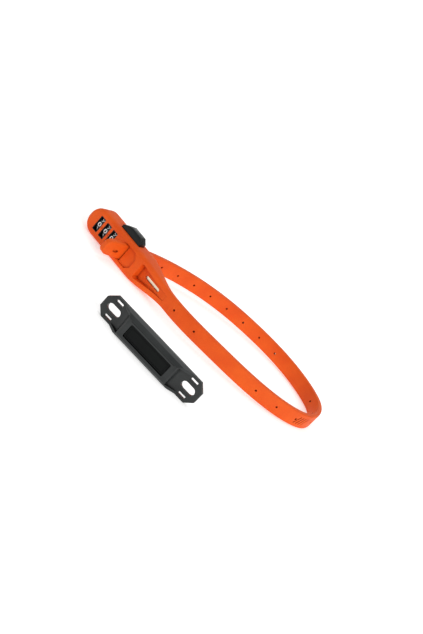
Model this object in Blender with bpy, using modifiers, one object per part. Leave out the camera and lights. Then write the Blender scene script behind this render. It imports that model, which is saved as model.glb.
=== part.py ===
"""Strap combination lock with its frame bracket.

Metres, +Z up. The lock lies on its long edge. The head's long axis runs along X
and its dial face looks towards -Y. The origin is the middle of the flat side
that the head rests on.
"""

from math import cos, pi, radians, sin

import bmesh
import bpy
from mathutils import Matrix, Vector

MM = 0.001
GAP = 0.3 * MM

# Head casing
HEAD_WIDTH = 20.4 * MM
HEAD_DEPTH = 15.0 * MM
HEAD_START = -25.5 * MM
HEAD_END = 25.0 * MM
NECK_END = 60.0 * MM
END_RADIUS = 9.8 * MM
WALL = 2.0 * MM
MID_Z = HEAD_WIDTH / 2
FACE_Y = -HEAD_DEPTH / 2
BACK_Y = HEAD_DEPTH / 2
INNER_Y = FACE_Y + WALL
CAVITY_START = -22.5 * MM
CAVITY_END = 22.5 * MM
ROOM_CORNER = 4.8 * MM
COVER_THICK = 1.3 * MM
COVER_Y = BACK_Y - COVER_THICK

# Dials
DIAL_X = [-14.0 * MM, -7.1 * MM, -0.2 * MM]
DIAL_Y = -0.6 * MM
DIAL_RADIUS = 6.4 * MM
DIAL_WIDTH = 3.9 * MM
DIAL_FLANGE_RADIUS = 4.4 * MM
DIAL_FLANGE_WIDTH = 6.0 * MM
DIAL_BORE = 3.4 * MM
WINDOW_WIDTH = 4.5 * MM
WINDOW_LENGTH = 11.2 * MM
HUB_RADIUS = 3.1 * MM
HUB_WIDTH = 5.0 * MM
GATE_HALF = 0.9 * MM
SPINDLE_RADIUS = 1.5 * MM

# Strap
STRAP_WIDTH = 12.0 * MM
STRAP_THICK = 4.0 * MM
STRAP_ROUND = 0.9 * MM
CORE_WIDTH = 8.0 * MM
CORE_THICK = 1.2 * MM
CORE_ROUND = 0.3 * MM
SLOT_TILT = radians(10)
SLOT_X = 11.6 * MM
TAIL_OUT = 17.6 * MM
TIP_LENGTH = 4.0 * MM
TIP_WIDTH = 4.6 * MM
DIMPLE_FROM_END = 11.1 * MM
DIMPLE_RADIUS = 1.2 * MM
STEPS_PER_SPAN = 9

# Knots of the strap's centre line: x, y, z in mm and the heading in degrees
LOOP = [
    (60.3, 0.0, 10.2, 1),
    (102.4, 11.7, 8.9, 22.5),
    (150.0, 39.9, 7.0, 45),
    (167.0, 76.0, 6.1, 95),
    (150.5, 108.7, 6.3, 150),
    (119.0, 116.2, 7.0, 182.5),
    (70.2, 98.9, 8.6, 212),
    (34.4, 61.0, 9.8, 239.5),
    (14.5, 8.6, 10.2, 260),
]
APEX = 5
NECK_STEPS = [0.0, 0.2, 0.4, 0.6, 0.8, 1.0]
RIVET_X = 19.6 * MM
# Window over the core in the neck: its two ends along X and half its width
CORE_WINDOW = (35.6 * MM, 50.0 * MM, 1.15 * MM)
PAWL_REACH = 9.2 * MM

# Screws and the reset disc in the back cover, as (x, z)
SCREWS = [(-19.2 * MM, 14.0 * MM), (-19.2 * MM, 6.4 * MM), (19.9 * MM, 4.6 * MM), (19.9 * MM, 15.8 * MM)]
RESET_AT = (6.2 * MM, 10.2 * MM)

# Where the two springs start and end
LATCH_SPRING = ((-22.2 * MM, DIAL_Y, MID_Z), (-19.0 * MM, DIAL_Y, MID_Z))
BUTTON_SPRING = ((17.2 * MM, 0.0, 15.2 * MM), (17.2 * MM, 0.0, 18.8 * MM))

# Release button and latch
BUTTON_START = -2.0 * MM
BUTTON_END = 18.0 * MM
BUTTON_THICK = 7.0 * MM
BUTTON_FLOOR = 19.2 * MM
BUTTON_TOP = 25.4 * MM
BUTTON_TRAVEL = 2.2 * MM
# The ramp that the button's stem drives: its foot and its top on the pawl, and its lean
LATCH_SLOPE = 0.48
RAMP_FOOT_X = 8.7 * MM
RAMP_FOOT_Z = 10.0 * MM
RAMP_TOP_Z = 15.6 * MM

# Frame bracket
BRACKET_AT = (100.0 * MM, -66.0 * MM)
BRACKET_TURN = radians(12)
BRACKET_LENGTH = 81.0 * MM
BRACKET_WIDTH = 17.0 * MM
TAB_THICK = 3.0 * MM
TAB_CHAMFER = 4.8 * MM
BODY_RISE = 9.0 * MM
BODY_LENGTH = 40.0 * MM
RAMP_LENGTH = 7.0 * MM
BOLT_SPACING = 64.0 * MM
BOLT_SLOT = (10.2 * MM, 5.4 * MM)
TIE_SLOT = (5.2 * MM, 2.2 * MM)
TIE_OFFSET = 5.9 * MM
PANEL = (33.0 * MM, 9.2 * MM)
PANEL_DEPTH = 1.6 * MM
PAD_THICK = 0.7 * MM


def clear_scene():
    for obj in list(bpy.data.objects):
        bpy.data.objects.remove(obj, do_unlink=True)


def new_collection(name):
    collection = bpy.data.collections.new(name)
    bpy.context.scene.collection.children.link(collection)
    return collection


clear_scene()
PARTS = new_collection("strap_combination_lock")
CUTTERS = new_collection("cutters")


def material(name, color, roughness, metallic=0.0):
    mat = bpy.data.materials.new(name)
    mat.use_nodes = True
    shader = mat.node_tree.nodes["Principled BSDF"]
    shader.inputs["Base Color"].default_value = (*color, 1.0)
    shader.inputs["Roughness"].default_value = roughness
    shader.inputs["Metallic"].default_value = metallic
    return mat


ORANGE = material("orange_overmould", (0.82, 0.10, 0.03), 0.45)
BLACK = material("black_nylon", (0.02, 0.025, 0.025), 0.5)
DIAL = material("dial_black", (0.012, 0.012, 0.014), 0.35)
STEEL = material("steel", (0.62, 0.61, 0.59), 0.3, 1.0)
ZINC = material("die_cast_zinc", (0.45, 0.46, 0.47), 0.45, 1.0)
BRASS = material("brass", (0.75, 0.56, 0.25), 0.35, 1.0)
RUBBER = material("rubber", (0.015, 0.015, 0.015), 0.8)


def add_object(name, bm, mat=None, parent=None):
    """Make an object of the finished bmesh; without a material it is a cutter."""
    bmesh.ops.recalc_face_normals(bm, faces=bm.faces)
    mesh = bpy.data.meshes.new(name)
    bm.to_mesh(mesh)
    bm.free()
    obj = bpy.data.objects.new(name, mesh)
    if mat is None:
        CUTTERS.objects.link(obj)
        obj.hide_render = True
        obj.display_type = "WIRE"
    else:
        PARTS.objects.link(obj)
        mesh.materials.append(mat)
    obj.parent = parent
    return obj


def empty(name, location, rotation=(0, 0, 0)):
    obj = bpy.data.objects.new(name, None)
    PARTS.objects.link(obj)
    obj.location = location
    obj.rotation_euler = rotation
    return obj


def box_mesh(low, high, bm=None):
    bm = bm or bmesh.new()
    low, high = Vector(low), Vector(high)
    cube = bmesh.ops.create_cube(bm, size=1.0)["verts"]
    bmesh.ops.scale(bm, vec=high - low, verts=cube)
    bmesh.ops.translate(bm, vec=(low + high) / 2, verts=cube)
    return bm


def box(name, low, high, mat=None, parent=None):
    return add_object(name, box_mesh(low, high), mat, parent)


def disc_mesh(center, axis, radius, length, segments=32, bm=None):
    """A closed cylinder centred on a point, along axis X, Y or Z."""
    bm = bm or bmesh.new()
    turns = {"X": Matrix.Rotation(pi / 2, 4, "Y"), "Y": Matrix.Rotation(pi / 2, 4, "X"), "Z": Matrix()}
    bmesh.ops.create_cone(
        bm,
        cap_ends=True,
        segments=segments,
        radius1=radius,
        radius2=radius,
        depth=length,
        matrix=Matrix.Translation(center) @ turns[axis],
    )
    return bm


def disc(name, center, axis, radius, length, mat=None, parent=None, segments=32):
    return add_object(name, disc_mesh(center, axis, radius, length, segments), mat, parent)


def prism(name, outline, plane, low, high, mat=None, parent=None):
    """A flat outline extruded from low to high, square to its plane."""
    bm = bmesh.new()
    place = {"XZ": lambda a, b: (a, low, b), "XY": lambda a, b: (a, b, low)}[plane]
    face = bm.faces.new([bm.verts.new(place(a, b)) for a, b in outline])
    grown = bmesh.ops.extrude_face_region(bm, geom=[face])["geom"]
    step = (0, high - low, 0) if plane == "XZ" else (0, 0, high - low)
    bmesh.ops.translate(bm, vec=step, verts=[v for v in grown if isinstance(v, bmesh.types.BMVert)])
    return add_object(name, bm, mat, parent)


def boolean(obj, other, operation="DIFFERENCE"):
    mod = obj.modifiers.new(other.name, "BOOLEAN")
    mod.operation = operation
    mod.solver = "EXACT"
    mod.object = other


def cut(obj, *others):
    for other in others:
        boolean(obj, other)


def bevel(obj, width, segments=2, angle=40):
    mod = obj.modifiers.new("rounded_edges", "BEVEL")
    mod.width = width
    mod.segments = segments
    mod.limit_method = "ANGLE"
    mod.angle_limit = radians(angle)


def turned(name, profile, x, parent, mat, steps=40):
    """A ring turned about the X axis through the parent's origin; profile is (along, radius)."""
    bm = bmesh.new()
    verts = [bm.verts.new((radius, 0, along)) for along, radius in profile]
    for first, second in zip(verts, verts[1:] + verts[:1]):
        bm.edges.new((first, second))
    obj = add_object(name, bm, mat, parent)
    obj.location.x = x
    obj.rotation_euler = (0, pi / 2, 0)
    screw = obj.modifiers.new("turned", "SCREW")
    screw.steps = steps
    screw.render_steps = steps
    screw.use_merge_vertices = True
    screw.merge_threshold = 0.00001
    screw.use_normal_calculate = True
    return obj


def smooth(obj, angle=35):
    obj.data.shade_smooth()
    obj.data.set_sharp_from_angle(angle=radians(angle))


def arc(center, radius, start, end, steps):
    """Points on a circle's arc, angles in degrees."""
    angles = [radians(start + (end - start) * i / steps) for i in range(steps + 1)]
    return [(center[0] + radius * cos(a), center[1] + radius * sin(a)) for a in angles]


def rounded_rectangle(half_a, half_b, radius, steps=2):
    points = []
    for a, b, start in ((1, 1, 0), (-1, 1, 90), (-1, -1, 180), (1, -1, 270)):
        middle = (a * (half_a - radius), b * (half_b - radius))
        points += arc(middle, radius, start, start + 90, steps)
    return points


# The strap's route


def hermite(p0, p1, m0, m1, t):
    return (
        (2 * t**3 - 3 * t**2 + 1) * p0
        + (t**3 - 2 * t**2 + t) * m0
        + (3 * t**2 - 2 * t**3) * p1
        + (t**3 - t**2) * m1
    )


def knot_point(knot):
    return Vector(knot[:3]) * MM


def knot_slope(index, length):
    """The direction through a knot, as long as the span beside it."""
    before = LOOP[max(index - 1, 0)]
    after = LOOP[min(index + 1, len(LOOP) - 1)]
    run = (knot_point(after) - knot_point(before)).length
    climb = (after[2] - before[2]) * MM / run
    heading = radians(LOOP[index][3])
    return Vector((cos(heading), sin(heading), climb)) * length


def route(first, last, start_cut=0.0, end_cut=0.0):
    """Points of the centre line from one knot to another."""
    points = []
    for i in range(first, last):
        p0, p1 = knot_point(LOOP[i]), knot_point(LOOP[i + 1])
        span = (p1 - p0).length
        bend = abs(radians(LOOP[i + 1][3] - LOOP[i][3]))
        length = span * (1 + bend * bend / 24)
        m0, m1 = knot_slope(i, length), knot_slope(i + 1, length)
        points += [hermite(p0, p1, m0, m1, k / STEPS_PER_SPAN) for k in range(STEPS_PER_SPAN)]
    points.append(knot_point(LOOP[last]))
    points[0] += (points[1] - points[0]).normalized() * start_cut
    points[-1] += (points[-2] - points[-1]).normalized() * end_cut
    return points


def sweep(name, points, profile, mat, hole=None, widths=None):
    """Push a flat section along a route, upright all the way; hole is an inner section."""
    bm = bmesh.new()
    loops = [profile] if hole is None else [profile, hole]
    rings = [[bm.verts.new((a, 0, b)) for a, b in loop] for loop in loops]
    section = {vert: vert.co.copy() for ring in rings for vert in ring}
    if hole is None:
        faces = [bm.faces.new(rings[0])]
    else:
        edges = [bm.edges.new((ring[i - 1], ring[i])) for ring in rings for i in range(len(ring))]
        faces = bmesh.ops.bridge_loops(bm, edges=edges)["faces"]
    front = {vert: vert for vert in section}
    for i, point in enumerate(points):
        if i:
            grown = bmesh.ops.extrude_face_region(bm, geom=faces)["geom"]
            if i > 1:
                bmesh.ops.delete(bm, geom=faces, context="FACES")
            faces = [f for f in grown if isinstance(f, bmesh.types.BMFace)]
            fresh = {v.co.copy().freeze(): v for v in grown if isinstance(v, bmesh.types.BMVert)}
            front = {start: fresh[vert.co.copy().freeze()] for start, vert in front.items()}
        along = (points[min(i + 1, len(points) - 1)] - points[max(i - 1, 0)]).normalized()
        side = along.cross(Vector((0, 0, 1))).normalized()
        width = widths[i] if widths else 1.0
        for start, vert in front.items():
            flat = section[start]
            vert.co = point + side * flat.x + Vector((0, 0, flat.z * width))
    return add_object(name, bm, mat)


# The head's casing


def neck_curve(head, strap):
    """Half the neck's size along X: level where it leaves the head and where it meets the strap."""
    length = NECK_END - HEAD_END
    return [
        (HEAD_END + length * t, strap + (head - strap) * (1 - t) ** 2 * (1 + 2 * t))
        for t in NECK_STEPS
    ]


def casing_outline():
    """The casing seen from the dial face: a rounded end, and a neck that narrows to the strap."""
    half = HEAD_WIDTH / 2
    end = HEAD_START + END_RADIUS
    points = arc((end, MID_Z + half - END_RADIUS), END_RADIUS, 180, 90, 5)
    curve = neck_curve(half, STRAP_WIDTH / 2 + 0.2 * MM)
    points += [(x, MID_Z + z) for x, z in curve]
    points += [(x, MID_Z - z) for x, z in reversed(curve)]
    return points + arc((end, MID_Z - half + END_RADIUS), END_RADIUS, 270, 180, 5)


def casing_side():
    """The casing seen from its long edge: full depth over the head, thinner along the neck."""
    half = HEAD_DEPTH / 2
    curve = neck_curve(half, STRAP_THICK / 2 + 0.4 * MM)
    tail = [(x, -y) for x, y in reversed(curve)]
    return [(HEAD_START, half)] + curve + tail + [(HEAD_START, -half)]


def round_far_corners(bm, radius):
    """Round the two upright corners of a box in Y that lie at the casing's rounded end."""
    depth = max(v.co.y for v in bm.verts) - min(v.co.y for v in bm.verts)
    upright = [e for e in bm.edges if abs(e.verts[0].co.y - e.verts[1].co.y) > depth / 2]
    outer = [e for e in upright if e.verts[0].co.x < 0]
    bmesh.ops.bevel(bm, geom=outer, affect="EDGES", offset=radius, segments=4, profile=0.5, material=-1)


def slot_cutter(name, clearance, low, high):
    """A bar the size of the strap, lying along the tilted slot."""
    half = STRAP_THICK / 2 + clearance
    width = STRAP_WIDTH / 2 + clearance
    bm = box_mesh((-half, low, MID_Z - width), (half, high, MID_Z + width))
    turn = Matrix.Translation((SLOT_X, FACE_Y, 0)) @ Matrix.Rotation(-SLOT_TILT, 4, "Z")
    bmesh.ops.transform(bm, matrix=turn, verts=bm.verts)
    return add_object(name, bm)


def front_shell():
    """Casing moulding: dial face, side walls and neck, open at the back."""
    shell = prism("front_shell", casing_outline(), "XZ", FACE_Y, BACK_Y, ORANGE)
    side = prism("casing_side_cutter", casing_side(), "XY", -1 * MM, HEAD_WIDTH + 1 * MM)
    boolean(shell, side, "INTERSECT")
    bevel(shell, 1.2 * MM, 2)
    room = box_mesh((CAVITY_START, INNER_Y, WALL), (CAVITY_END, BACK_Y + 1 * MM, HEAD_WIDTH - WALL))
    round_far_corners(room, ROOM_CORNER)
    cut(shell, add_object("room_cutter", room))
    half = WINDOW_LENGTH / 2
    for x in DIAL_X:
        low = (x - WINDOW_WIDTH / 2, FACE_Y - 1 * MM, MID_Z - half)
        cut(shell, box("window_cutter", low, (x + WINDOW_WIDTH / 2, INNER_Y + 1 * MM, MID_Z + half)))
    cut(shell, slot_cutter("slot_cutter", GAP, -2 * MM, 4 * MM))
    cut(shell, button_room("button_cutter", HEAD_WIDTH - WALL - 1 * MM, HEAD_WIDTH + 1 * MM))
    cut(shell, exit_recess(), neck_recess())
    half_a, half_b = CORE_THICK / 2 + GAP, CORE_WIDTH / 2 + GAP
    low = (CAVITY_END - 1 * MM, -half_a, MID_Z - half_b)
    cut(shell, box("core_channel_cutter", low, (NECK_END + 1 * MM, half_a, MID_Z + half_b)))
    low = (CORE_WINDOW[0], FACE_Y, MID_Z - CORE_WINDOW[2])
    cut(shell, box("core_window_cutter", low, (CORE_WINDOW[1], 0.0, MID_Z + CORE_WINDOW[2])))
    return shell


def button_room(name, low_z, high_z):
    """The space that the button slides in, a gap larger than the button all round."""
    half = BUTTON_THICK / 2 + GAP
    return box(name, (BUTTON_START - GAP, -half, low_z), (BUTTON_END + GAP, half, high_z))


def exit_recess():
    """A shallow pocket with cut corners, where the strap's tip comes out."""
    low, high, half = 11.8 * MM, 24.6 * MM, 6.6 * MM
    outline = [
        (low, MID_Z - half),
        (high - 3 * MM, MID_Z - half),
        (high, MID_Z - half + 3 * MM),
        (high, MID_Z + half - 3 * MM),
        (high - 3 * MM, MID_Z + half),
        (low, MID_Z + half),
    ]
    return prism("exit_recess_cutter", outline, "XZ", FACE_Y - 1 * MM, FACE_Y + 1.1 * MM)


def neck_recess():
    """The deep tapered pocket in the neck; its floor stays over the core."""
    outline = [
        (31.0 * MM, MID_Z - 6.2 * MM),
        (46.0 * MM, MID_Z - 3.6 * MM),
        (58.0 * MM, MID_Z - 2.2 * MM),
        (58.0 * MM, MID_Z + 2.2 * MM),
        (46.0 * MM, MID_Z + 3.6 * MM),
        (31.0 * MM, MID_Z + 6.2 * MM),
    ]
    return prism("neck_recess_cutter", outline, "XZ", FACE_Y - 1 * MM, -1.9 * MM)


def back_cover():
    """Plate that closes the casing's back, with the strap slot and its screw holes."""
    edge = WALL + GAP
    low = (CAVITY_START + GAP, COVER_Y, edge)
    bm = box_mesh(low, (CAVITY_END - GAP, BACK_Y, HEAD_WIDTH - edge))
    round_far_corners(bm, ROOM_CORNER - 0.2 * MM)
    cover = add_object("back_cover", bm, ORANGE)
    cut(cover, slot_cutter("cover_slot_cutter", GAP, 11 * MM, 19 * MM))
    for x, z in SCREWS:
        cut(cover, disc("screw_hole_cutter", (x, BACK_Y, z), "Y", 1.9 * MM, 4 * MM))
    cut(cover, disc("reset_hole_cutter", (RESET_AT[0], BACK_Y, RESET_AT[1]), "Y", 2.5 * MM, 4 * MM))
    return cover


def cover_screw(number, x, z):
    """Small machine screw, its hexagon socket facing the back."""
    screw = disc(f"cover_screw_{number}", (x, BACK_Y - 0.8 * MM, z), "Y", 1.6 * MM, 1.2 * MM, STEEL)
    cut(screw, disc("socket_cutter", (x, BACK_Y, z), "Y", 0.75 * MM, 1.4 * MM, segments=6))
    return screw


def reset_screw():
    """Slotted disc in the back cover that sets a new code with a quarter turn."""
    holder = empty("reset_axis", (RESET_AT[0], BACK_Y - 0.6 * MM, RESET_AT[1]))
    screw = disc("reset_screw", (0, 0, 0), "Y", 2.2 * MM, 1.2 * MM, BRASS, holder)
    low, high = (-3 * MM, 0.2 * MM, -0.4 * MM), (3 * MM, 1.2 * MM, 0.4 * MM)
    cut(screw, box("reset_groove_cutter", low, high, None, holder))
    return screw


# The mechanism inside


def chassis():
    """Die-cast frame that carries the spindle, guides the strap and holds the core's end."""
    rail = WALL + GAP
    low = (CAVITY_START + 4.0 * MM, INNER_Y + GAP, rail)
    frame = box("lock_chassis", low, (CAVITY_END - GAP, COVER_Y - GAP, HEAD_WIDTH - rail), ZINC)
    bay = DIAL_RADIUS + GAP
    inside = 20 * MM
    first, last = DIAL_X[0] - 3.4 * MM, DIAL_X[-1] + 3.6 * MM
    cut(frame, box("dial_bay_cutter", (first, -inside, MID_Z - bay), (last, inside, MID_Z + bay)))
    leaf_low = (first - 0.4 * MM, -1.9 * MM, MID_Z - bay - 2 * GAP)
    cut(frame, box("leaf_seat_cutter", leaf_low, (last + 0.3 * MM, 4.3 * MM, 5.0 * MM)))
    cut(frame, disc("spindle_bore_cutter", (0, DIAL_Y, MID_Z), "X", SPINDLE_RADIUS + GAP, 60 * MM))
    pawl_low = (last + 0.6 * MM, -3.3 * MM, 5.7 * MM)
    cut(frame, box("pawl_bay_cutter", pawl_low, (12.5 * MM, 3.3 * MM, HEAD_WIDTH)))
    cut(frame, slot_cutter("chassis_slot_cutter", GAP, -2 * MM, 20 * MM))
    cut(frame, button_room("button_room_cutter", BUTTON_FLOOR - BUTTON_TRAVEL - 0.4 * MM, HEAD_WIDTH))
    half_a, half_b = CORE_THICK / 2 + GAP, CORE_WIDTH / 2 + GAP
    core_low = (17.0 * MM, -half_a, MID_Z - half_b)
    cut(frame, box("core_seat_cutter", core_low, (30 * MM, half_a, MID_Z + half_b)))
    cut(frame, disc("rivet_bore_cutter", (RIVET_X, 0, MID_Z), "Y", 1.8 * MM, 30 * MM))
    spring_foot = BUTTON_SPRING[0]
    cut(frame, disc("spring_seat_cutter", spring_foot, "Z", 1.3 * MM, 0.8 * MM))
    above = (spring_foot[0], spring_foot[1], spring_foot[2] + 1 * MM)
    cut(frame, disc("spring_room_cutter", above, "Z", 1.3 * MM, 2 * MM))
    for x, z in SCREWS:
        cut(frame, disc("screw_seat_cutter", (x, COVER_Y, z), "Y", 1.9 * MM, 1.6 * MM))
    return frame


def dials(number, x):
    """One code wheel and the clutch hub inside it, on the dial axis."""
    holder = empty(f"dial_axis_{number}", (0, DIAL_Y, MID_Z))
    half, flange = DIAL_WIDTH / 2, DIAL_FLANGE_WIDTH / 2
    profile = [
        (-flange, DIAL_BORE),
        (-flange, DIAL_FLANGE_RADIUS),
        (-half, DIAL_FLANGE_RADIUS),
        (-half, DIAL_RADIUS - 0.4 * MM),
        (-half + 0.4 * MM, DIAL_RADIUS),
        (half - 0.4 * MM, DIAL_RADIUS),
        (half, DIAL_RADIUS - 0.4 * MM),
        (half, DIAL_FLANGE_RADIUS),
        (flange, DIAL_FLANGE_RADIUS),
        (flange, DIAL_BORE),
    ]
    wheel = turned(f"dial_wheel_{number}", profile, x, holder, DIAL)
    hub_half = HUB_WIDTH / 2
    inner = SPINDLE_RADIUS + GAP
    ring = [(-hub_half, inner), (-hub_half, HUB_RADIUS), (hub_half, HUB_RADIUS), (hub_half, inner)]
    hub = turned(f"dial_hub_{number}", ring, x, holder, BRASS, 32)
    low = (x + 1.0 * MM, DIAL_Y - GATE_HALF, MID_Z - HUB_RADIUS - 1 * MM)
    high = (x + 3.0 * MM, DIAL_Y + GATE_HALF, MID_Z + HUB_RADIUS + 1 * MM)
    cut(hub, box("gate_cutter", low, high))
    return wheel, hub


def spindle():
    """Rod through the dials with one locking fin behind each hub."""
    start, end = DIAL_X[0] - 4.6 * MM, DIAL_X[-1] + 4.9 * MM
    middle = ((start + end) / 2, DIAL_Y, MID_Z)
    rod = disc("spindle", middle, "X", SPINDLE_RADIUS, end - start, STEEL)
    for x in DIAL_X:
        low = (x + HUB_WIDTH / 2 + GAP, DIAL_Y - 0.6 * MM, MID_Z)
        fin = box("fin_maker", low, (low[0] + 0.5 * MM, DIAL_Y + 0.6 * MM, MID_Z + 2.8 * MM))
        boolean(rod, fin, "UNION")
    return rod


def latch_pawl():
    """Block that grips the strap, with a ramp that the button's stem pushes on."""
    left, base = 5.4 * MM, 6.2 * MM
    outline = [
        (left, base),
        (PAWL_REACH + 2 * MM, base),
        (PAWL_REACH + 2 * MM, RAMP_FOOT_Z),
        (RAMP_FOOT_X, RAMP_FOOT_Z),
        (RAMP_FOOT_X - LATCH_SLOPE * (RAMP_TOP_Z - RAMP_FOOT_Z), RAMP_TOP_Z),
        (left, RAMP_TOP_Z),
    ]
    pawl = prism("latch_pawl", outline, "XZ", -3.0 * MM, 3.0 * MM, STEEL)
    cut(pawl, slot_cutter("pawl_face_cutter", GAP, -4 * MM, 20 * MM))
    return pawl


def release_button():
    """Black thumb button on the head's long edge, with cut ends and a stem."""
    low, high = BUTTON_START, BUTTON_END
    shoulder = HEAD_WIDTH + 2.2 * MM
    outline = [
        (low, BUTTON_FLOOR),
        (high, BUTTON_FLOOR),
        (high, shoulder),
        (high - 3.4 * MM, BUTTON_TOP),
        (low + 6.0 * MM, BUTTON_TOP),
        (low, shoulder),
    ]
    half = BUTTON_THICK / 2
    button = prism("release_button", outline, "XZ", -half, half, BLACK)
    bevel(button, 0.5 * MM, 2, 20)
    ramp_gap, tip, root = 0.34 * MM, 12.6 * MM, BUTTON_FLOOR + 1 * MM
    edge = RAMP_FOOT_X + ramp_gap - LATCH_SLOPE * (tip - RAMP_FOOT_Z)
    lean = LATCH_SLOPE * (RAMP_TOP_Z - tip)
    stem = [
        (edge, tip),
        (edge + 1.4 * MM, tip),
        (edge + 1.4 * MM, root),
        (edge - lean, root),
        (edge - lean, RAMP_TOP_Z),
    ]
    boolean(button, prism("stem_maker", stem, "XZ", -2 * MM, 2 * MM), "UNION")
    return button


def helix(name, start, end, radius, turns, wire, mat):
    """A round-wire spring between two points on a straight line."""
    start, end = Vector(start), Vector(end)
    along = (end - start).normalized()
    turn = Vector((0, 0, 1)).rotation_difference(along)
    curve = bpy.data.curves.new(name, "CURVE")
    curve.dimensions = "3D"
    curve.bevel_depth = wire / 2
    curve.bevel_resolution = 0
    curve.use_fill_caps = True
    count = turns * 8
    spline = curve.splines.new("POLY")
    spline.points.add(count)
    for i, point in enumerate(spline.points):
        angle = 2 * pi * i / 8
        flat = Vector((radius * cos(angle), radius * sin(angle), 0))
        place = start + turn @ flat + (end - start) * (i / count)
        point.co = (*place, 1)
    obj = bpy.data.objects.new(name, curve)
    PARTS.objects.link(obj)
    curve.materials.append(mat)
    return obj


def detent_spring():
    """Leaf of spring steel along the lower rail, with one finger under each dial."""
    thick = 0.3 * MM
    low_z = MID_Z - DIAL_RADIUS - GAP - thick
    start, end = DIAL_X[0] - 3.2 * MM, DIAL_X[-1] + 3.0 * MM
    bm = box_mesh((start, 2.2 * MM, low_z), (end, 4.0 * MM, low_z + thick))
    leaf = add_object("detent_spring", bm, STEEL)
    for x in DIAL_X:
        finger = (x - 1.2 * MM, -1.6 * MM, low_z)
        boolean(leaf, box("finger_maker", finger, (x + 1.2 * MM, 2.6 * MM, low_z + thick)), "UNION")
    return leaf


def core_rivet():
    """Pin that fixes the end of the core in the chassis."""
    return disc("core_rivet", (RIVET_X, 0, MID_Z), "Y", 1.5 * MM, 10.6 * MM, STEEL)


# The strap


def straight_core():
    start = [Vector((17.6 * MM, 0, MID_Z)), Vector((40 * MM, 0, MID_Z))]
    return start + route(0, APEX, 0.0, GAP)


def strap():
    """Overmoulded strap in two lengths, each with its steel core."""
    outer = rounded_rectangle(STRAP_THICK / 2, STRAP_WIDTH / 2, STRAP_ROUND)
    core = rounded_rectangle(CORE_THICK / 2, CORE_WIDTH / 2, CORE_ROUND, 1)
    channel = rounded_rectangle(CORE_THICK / 2 + GAP, CORE_WIDTH / 2 + GAP, CORE_ROUND, 1)
    sweep("strap_sleeve_near", route(0, APEX, 0.0, GAP), outer, ORANGE, channel)
    near_core = sweep("strap_core_near", straight_core(), core, STEEL)
    cut(near_core, disc("core_hole_cutter", (RIVET_X, 0, MID_Z), "Y", 1.5 * MM + GAP, 6 * MM))
    last = len(LOOP) - 1
    sweep("strap_sleeve_far", route(APEX, last, 0.0, GAP), outer, ORANGE, channel)
    sweep("strap_core_far", route(APEX, last, 0.0, GAP), core, STEEL)


def tail():
    """The strap's end: through the slot, out of the dial face and narrowed to a tip."""
    start = knot_point(LOOP[-1])
    heading = Vector((cos(radians(LOOP[-1][3])), sin(radians(LOOP[-1][3])), 0))
    length = (start.y - FACE_Y) / cos(SLOT_TILT) + TAIL_OUT
    core = rounded_rectangle(CORE_THICK / 2, CORE_WIDTH / 2, CORE_ROUND, 1)
    channel = rounded_rectangle(CORE_THICK / 2 + GAP, CORE_WIDTH / 2 + GAP, CORE_ROUND, 1)
    outer = rounded_rectangle(STRAP_THICK / 2, STRAP_WIDTH / 2, STRAP_ROUND)
    narrow = TIP_WIDTH / STRAP_WIDTH
    stops = [0.0, length - TIP_LENGTH, length - TIP_LENGTH * 0.4, length]
    widths = [1.0, 1.0, 1 - (1 - narrow) * 0.5, narrow]
    body = sweep("tail_sleeve", [start + heading * s for s in stops], outer, ORANGE, None, widths)
    pocket = length - TIP_LENGTH - 1 * MM
    seat = sweep("tail_core_cutter", [start + heading * s for s in (-1 * MM, pocket)], channel, None)
    cut(body, seat)
    dimple = start + heading * (length - DIMPLE_FROM_END)
    out = heading.cross(Vector((0, 0, 1))) * -STRAP_THICK / 2
    bm = disc_mesh(dimple + out, "X", DIMPLE_RADIUS, 1.4 * MM, 16)
    cut(body, add_object("dimple_cutter", bm))
    sweep("tail_core", [start + heading * s for s in (0.0, pocket - GAP)], core, STEEL)


# The frame bracket


def stadium(center, length, width, steps=6):
    radius = width / 2
    reach = length / 2 - radius
    right = arc((center[0] + reach, center[1]), radius, -90, 90, steps)
    left = arc((center[0] - reach, center[1]), radius, 90, 270, steps)
    return right + left


def bracket(holder):
    """Moulded bracket: two slotted tabs and a raised body with a sunk panel."""
    end, half = BRACKET_LENGTH / 2, BRACKET_WIDTH / 2
    chamfer, mid = TAB_CHAMFER, BRACKET_WIDTH / 2
    plate = [
        (-end, mid - half + chamfer),
        (-end + chamfer, mid - half),
        (end - chamfer, mid - half),
        (end, mid - half + chamfer),
        (end, mid + half - chamfer),
        (end - chamfer, mid + half),
        (-end + chamfer, mid + half),
        (-end, mid + half - chamfer),
    ]
    body = prism("bracket_body", plate, "XZ", -BODY_RISE, 0.0, BLACK, holder)
    boolean(body, bracket_side(holder), "INTERSECT")
    bevel(body, 0.7 * MM, 2, 20)
    for side in (-1, 1):
        x = side * BOLT_SPACING / 2
        slot = stadium((x, mid), *BOLT_SLOT)
        cut(body, prism("bolt_slot_cutter", slot, "XZ", -20 * MM, 20 * MM, None, holder))
        for offset in (-TIE_OFFSET, TIE_OFFSET):
            low = (x - TIE_SLOT[0] / 2, -20 * MM, mid + offset - TIE_SLOT[1] / 2)
            high = (x + TIE_SLOT[0] / 2, 20 * MM, mid + offset + TIE_SLOT[1] / 2)
            cut(body, box("tie_slot_cutter", low, high, None, holder))
    low = (-PANEL[0] / 2, -20 * MM, mid - PANEL[1] / 2)
    high = (PANEL[0] / 2, -BODY_RISE + PANEL_DEPTH, mid + PANEL[1] / 2)
    cut(body, box("panel_cutter", low, high, None, holder))
    return body


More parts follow.
